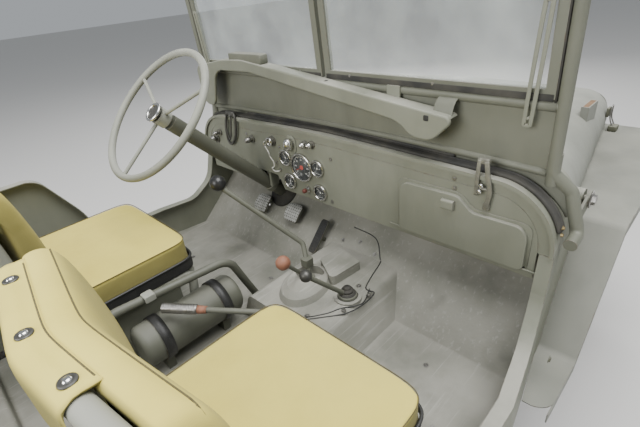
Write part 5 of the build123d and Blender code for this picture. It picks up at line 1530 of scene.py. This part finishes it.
def seat_pan(name, middle, rim_z, body):
    """A thin wall from the pan up to the rim, and a round bead along the rim."""
    angle = np.linspace(0, 2 * np.pi, 240, endpoint=False)
    x, y = np.cos(angle), np.sin(angle)
    square = np.maximum(np.abs(x), np.abs(y))
    x, y = rounded_plan(x / square, y / square, 10)
    bead = np.stack([SEAT_X + x * 0.1925, middle + y * 0.2135, np.full_like(x, rim_z)], axis=-1)
    wall = bead.copy()
    wall[:, 2] = (rim_z + PAN_Z) / 2
    section = flat_section(0.0022, rim_z - PAN_Z, 16)
    mesh_piece(name, [swept_shell(bead, round_section(0.0038, 10), (0.02, 0.03, 1), ring=True),
                      swept_shell(wall, section, (0.0, 0.0, 1), ring=True)], rim_black, body)


seat_pan("driver_seat_pan", DRIVER_Y, 0.7760, "tub")
seat_pan("passenger_seat_pan", PASSENGER_Y, 0.7600, "passenger_seat")
print("seat pans:", added_pieces["driver_seat_pan"] + added_pieces["passenger_seat_pan"], "faces")

# %% [markdown]
# ## Tyres
#
# The CAD tyres are many-sided, so round ones replace them: a carcass turned from one profile, with a
# rib round each sidewall, and bars that reach from the middle of the tread over each shoulder. One
# bar's corners are worked out once and turned to all its places at the same time.

# %% Tyres
CARCASS = [(-0.0585, 0.2195), (-0.0640, 0.232), (-0.0720, 0.250), (-0.0768, 0.270), (-0.0785, 0.292),
           (-0.0775, 0.300), (-0.0785, 0.306), (-0.0765, 0.318), (-0.0720, 0.334), (-0.0640, 0.346),
           (-0.0500, 0.3500), (-0.0250, 0.3512), (0, 0.3515)]
BARS_A_SIDE = 24


def tyre_shells(centre, axis):
    """The closed carcass and its bars. A bar's section is a flat-topped ridge, and it narrows over the
    shoulder."""
    half = np.array(CARCASS)
    profile = np.vstack([half, half[-2::-1] * (-1, 1), [(0.050, 0.2195), (-0.050, 0.2195)]])
    first, second = cross_axes(axis)
    along = unit(axis)
    stations = np.array([(0.004, 0.3440, 0.3605), (0.030, 0.3440, 0.3609), (0.056, 0.3400, 0.3600),
                         (0.068, 0.3330, 0.3540), (0.0775, 0.3120, 0.3300), (0.0790, 0.3080, 0.3090)])
    wide = np.array([0.020, 0.021, 0.022, 0.0225, 0.020, 0.017])
    ridge = np.stack([np.stack([-wide, stations[:, 1]], -1), np.stack([-wide * 0.8, stations[:, 2]], -1),
                      np.stack([wide * 0.8, stations[:, 2]], -1), np.stack([wide, stations[:, 1]], -1)],
                     axis=1)
    shells = []
    for side in (-1, 1):
        turn = 2 * np.pi * (np.arange(BARS_A_SIDE) + (0.5 if side > 0 else 0.0)) / BARS_A_SIDE
        angle = turn[:, None, None] + ridge[None, ..., 0] / 0.35
        reach = ridge[None, ..., 1]
        circle = np.cos(angle)[..., None] * first + np.sin(angle)[..., None] * second
        outward = side * stations[None, :, 0, None, None] * along
        points = np.asarray(centre) + outward + reach[..., None] * circle
        ends = points.mean(axis=2, keepdims=True)
        points = np.concatenate([np.repeat(ends[:, :1], 4, axis=2), points,
                                 np.repeat(ends[:, -1:], 4, axis=2)], axis=1)
        faces = grid_faces(points.shape[1], 4, close_columns=True)
        shells += [(bar, faces) for bar in points.reshape(BARS_A_SIDE, -1, 3)]
    carcass = turned_shell(profile, centre, axis, 120, ring=True)
    return carcass, shells


WHEEL_PLACES = {"front_left": (1.1305, 0.622, 0.362), "front_right": (1.1305, -0.622, 0.362),
                "rear_left": (-0.9015, 0.622, 0.362), "rear_right": (-0.9015, -0.622, 0.362),
                "spare": (-1.5845, -0.330, 0.842)}
for name, place in WHEEL_PLACES.items():
    axis = (1, 0, 0) if name == "spare" else (0, 1, 0)
    body = "tub" if name == "spare" else "wheel_" + name
    carcass, bars = tyre_shells(place, axis)
    casing = mesh_piece(name + "_casing", [carcass], tyre_rubber, body)
    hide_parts(name + "_tyre")
    mesh_piece(name + "_bars", bars, tyre_rubber, body, smooth=False)
print("tyre faces:", added_pieces["spare_casing"] + added_pieces["spare_bars"])

# %% [markdown]
# ## Lamps, hood catches and side fittings
#
# The headlamps get a fluted glass over a bright bowl, and the tail lamps a red one. The flutes are a
# wave in the finish, not in the mesh, because they are finer than a millimetre.

# %% Lamps


def fluted_glass(name, colour, flutes=260.0):
    """Lamp glass over a mirror: bright, glossy and ribbed from top to bottom."""
    material, tree, shader, spot = start_material(name)
    wave = add_node(tree, "ShaderNodeTexWave", {"Scale": flutes / 6.2832, "Distortion": 0.4},
                    bands_direction="Y")
    tree.links.new(spot, wave.inputs["Vector"])
    tree.links.new(mix_colours(tree, wave.outputs["Fac"], colour, tuple(0.62 * c for c in colour)),
                   shader.inputs["Base Color"])
    shader.inputs["Roughness"].default_value = 0.08
    shader.inputs["Metallic"].default_value = 0.55
    shader.inputs["Coat Weight"].default_value = 1.0
    bump_surface(tree, shader, wave.outputs["Fac"], 0.5, 0.0012)
    return material


lamp_glass = fluted_glass("lamp_glass", (0.78, 0.80, 0.78))
HEAD_LENS = [(0.090, 0), (0.0925, 0.0780), (0.0995, 0.0610), (0.1060, 0.0315), (0.1085, 0)]
HEAD_RIM = [(0.084, 0.0845), (0.084, 0.0862), (0.0935, 0.0862), (0.0965, 0.0815), (0.0955, 0.0765),
            (0.0915, 0.0790)]
GRILLE_LENS = [(0.050, 0), (0.0522, 0.0340), (0.0585, 0.0205), (0.0607, 0)]
FENDER_LENS = [(0.060, 0), (0.0623, 0.0448), (0.0686, 0.0245), (0.0707, 0)]
TAIL_LENS = [(0.029, 0), (0.0306, 0.0352), (0.0386, 0.0245), (0.0407, 0)]
lenses, lamp_rims, tails = [], [], []
for side in (-1, 1):
    headlamp = (1.388, side * 0.372, 0.806)
    lenses.append(turned_shell(HEAD_LENS, headlamp, (1, 0, 0), 64))
    lenses.append(turned_shell(GRILLE_LENS, (1.442, side * 0.440, 0.655), (1, 0, 0), 40))
    lamp_rims.append(turned_shell(HEAD_RIM, headlamp, (1, 0, 0), 64, ring=True))
    tails.append(turned_shell(TAIL_LENS, (-1.464, side * 0.660, 0.690), (-1, 0, 0), 40))
lenses.append(turned_shell(FENDER_LENS, (1.380, 0.655, 0.915), (1, 0, 0), 40))
mesh_piece("lamp_lenses", lenses, lamp_glass, "tub")
mesh_piece("lamp_rims", lamp_rims, wheel_paint, "tub")
mesh_piece("tail_lenses", tails, tail_red, "tub")
print("lamps:", len(lenses), "clear and", len(tails), "red")

# %% [markdown]
# A spring catch on each side holds the hood down on the fender: the hook rides with the hood, and the
# wire loop and its base stay on the tub. The hood's side draws in towards the front along a straight
# line, and the catch's place is read off that line. Each box is given for both sides at once, so its
# two corners are sorted before it is built.

# %% Hood catches
CATCH_X = 1.400
CATCH_Y = 0.664 - 0.128 * (CATCH_X - 0.614) / 0.872


def sorted_box(first, second, power):
    """A rounded box between two opposite corners, given in any order."""
    return box_shell(np.minimum(first, second), np.maximum(first, second), power)


hooks, loops, catch_bases = [], [], []
for side in (-1, 1):
    y = side * CATCH_Y
    hooks.append(sorted_box((CATCH_X - 0.017, y - side * 0.001, 0.896),
                            (CATCH_X + 0.017, y + side * 0.009, 0.932), 0.25))
    half_loop = [(0.012, 0.0300, 0.862), (0.012, 0.0155, 0.895), (0.009, 0.0140, 0.936)]
    stops = [(CATCH_X - dx, y + side * dy, z) for dx, dy, z in half_loop]
    stops += [(CATCH_X + dx, y + side * dy, z) for dx, dy, z in half_loop[::-1]]
    wire = round_section(0.0024, 8)
    loops.append(swept_shell(smooth_path(stops, 44, ring=True), wire, (0.3, side * 1.0, 0.2), ring=True))
    catch_bases.append(sorted_box((CATCH_X - 0.022, y + side * 0.016, 0.8452),
                                  (CATCH_X + 0.022, y + side * 0.046, 0.8660), 0.22))
mesh_piece("hood_hooks", hooks, wheel_paint, "hood")
mesh_piece("catch_loops", loops, worn_steel, "tub")
mesh_piece("catch_bases", catch_bases, wheel_paint, "tub")
print("hood catches at y:", round(CATCH_Y, 4))

# %% [markdown]
# Five nuts hold each road wheel, and bolts show along the tub's sides. One six-sided head is turned to
# every place. Instances would save memory, but a piece has to be one plain mesh here.

# %% Wheel nuts and side bolts
SIDE_WALL_Y = 0.7452
for name, place in WHEEL_PLACES.items():
    if name == "spare":
        continue
    outward = np.sign(place[1])
    angle = np.radians(72 * np.arange(5) + 18)
    spots = np.stack([place[0] + 0.048 * np.cos(angle), np.full(5, place[1] + outward * 0.0435),
                      place[2] + 0.048 * np.sin(angle)], axis=-1)
    mesh_piece(name + "_nuts", bolt_shells(spots, (0, outward, 0), 0.0095, 0.012), worn_steel,
               "wheel_" + name, smooth=False)
side_spots = ((-1.40, 0.93), (-1.40, 0.56), (-0.30, 0.93), (-0.30, 0.56), (0.34, 0.62))
side_bolts = [(x, side * SIDE_WALL_Y, z) for side in (-1, 1) for x, z in side_spots]
bolt_rows = [bolt_shells([place], (0, np.sign(place[1]), 0), 0.0065, 0.0045)[0] for place in side_bolts]
mesh_piece("side_bolts", bolt_rows, wheel_paint, "tub", smooth=False)
print("side bolts:", len(side_bolts))

# %% [markdown]
# The steering wheel's horn button is gone, so its hub shows an open bright ring round a dark cup. Both
# are turned about the column's own axis, which rises backwards at 45 degrees.

# %% Steering hub
HUB, HUB_AXIS = (0.035, 0.331, 1.158), (-0.70711, 0, 0.70711)
HUB_RING = [(0.004, 0.0225), (0.004, 0.0300), (0.009, 0.0312), (0.012, 0.0290), (0.0125, 0.0250),
            (0.010, 0.0225)]
HUB_CUP = [(-0.004, 0), (-0.004, 0.0232), (0.0085, 0.0232), (0.0085, 0.019), (0.0078, 0)]
hub_ring = turned_shell(HUB_RING, HUB, HUB_AXIS, 48, ring=True)
mesh_piece("hub_ring", [hub_ring], chrome, "steering_wheel")
hub_cup = turned_shell(HUB_CUP, HUB, HUB_AXIS, 40)
mesh_piece("hub_cup", [hub_cup], dark_steel, "steering_wheel")
print("added pieces:", len(added_pieces), "faces:", sum(added_pieces.values()))
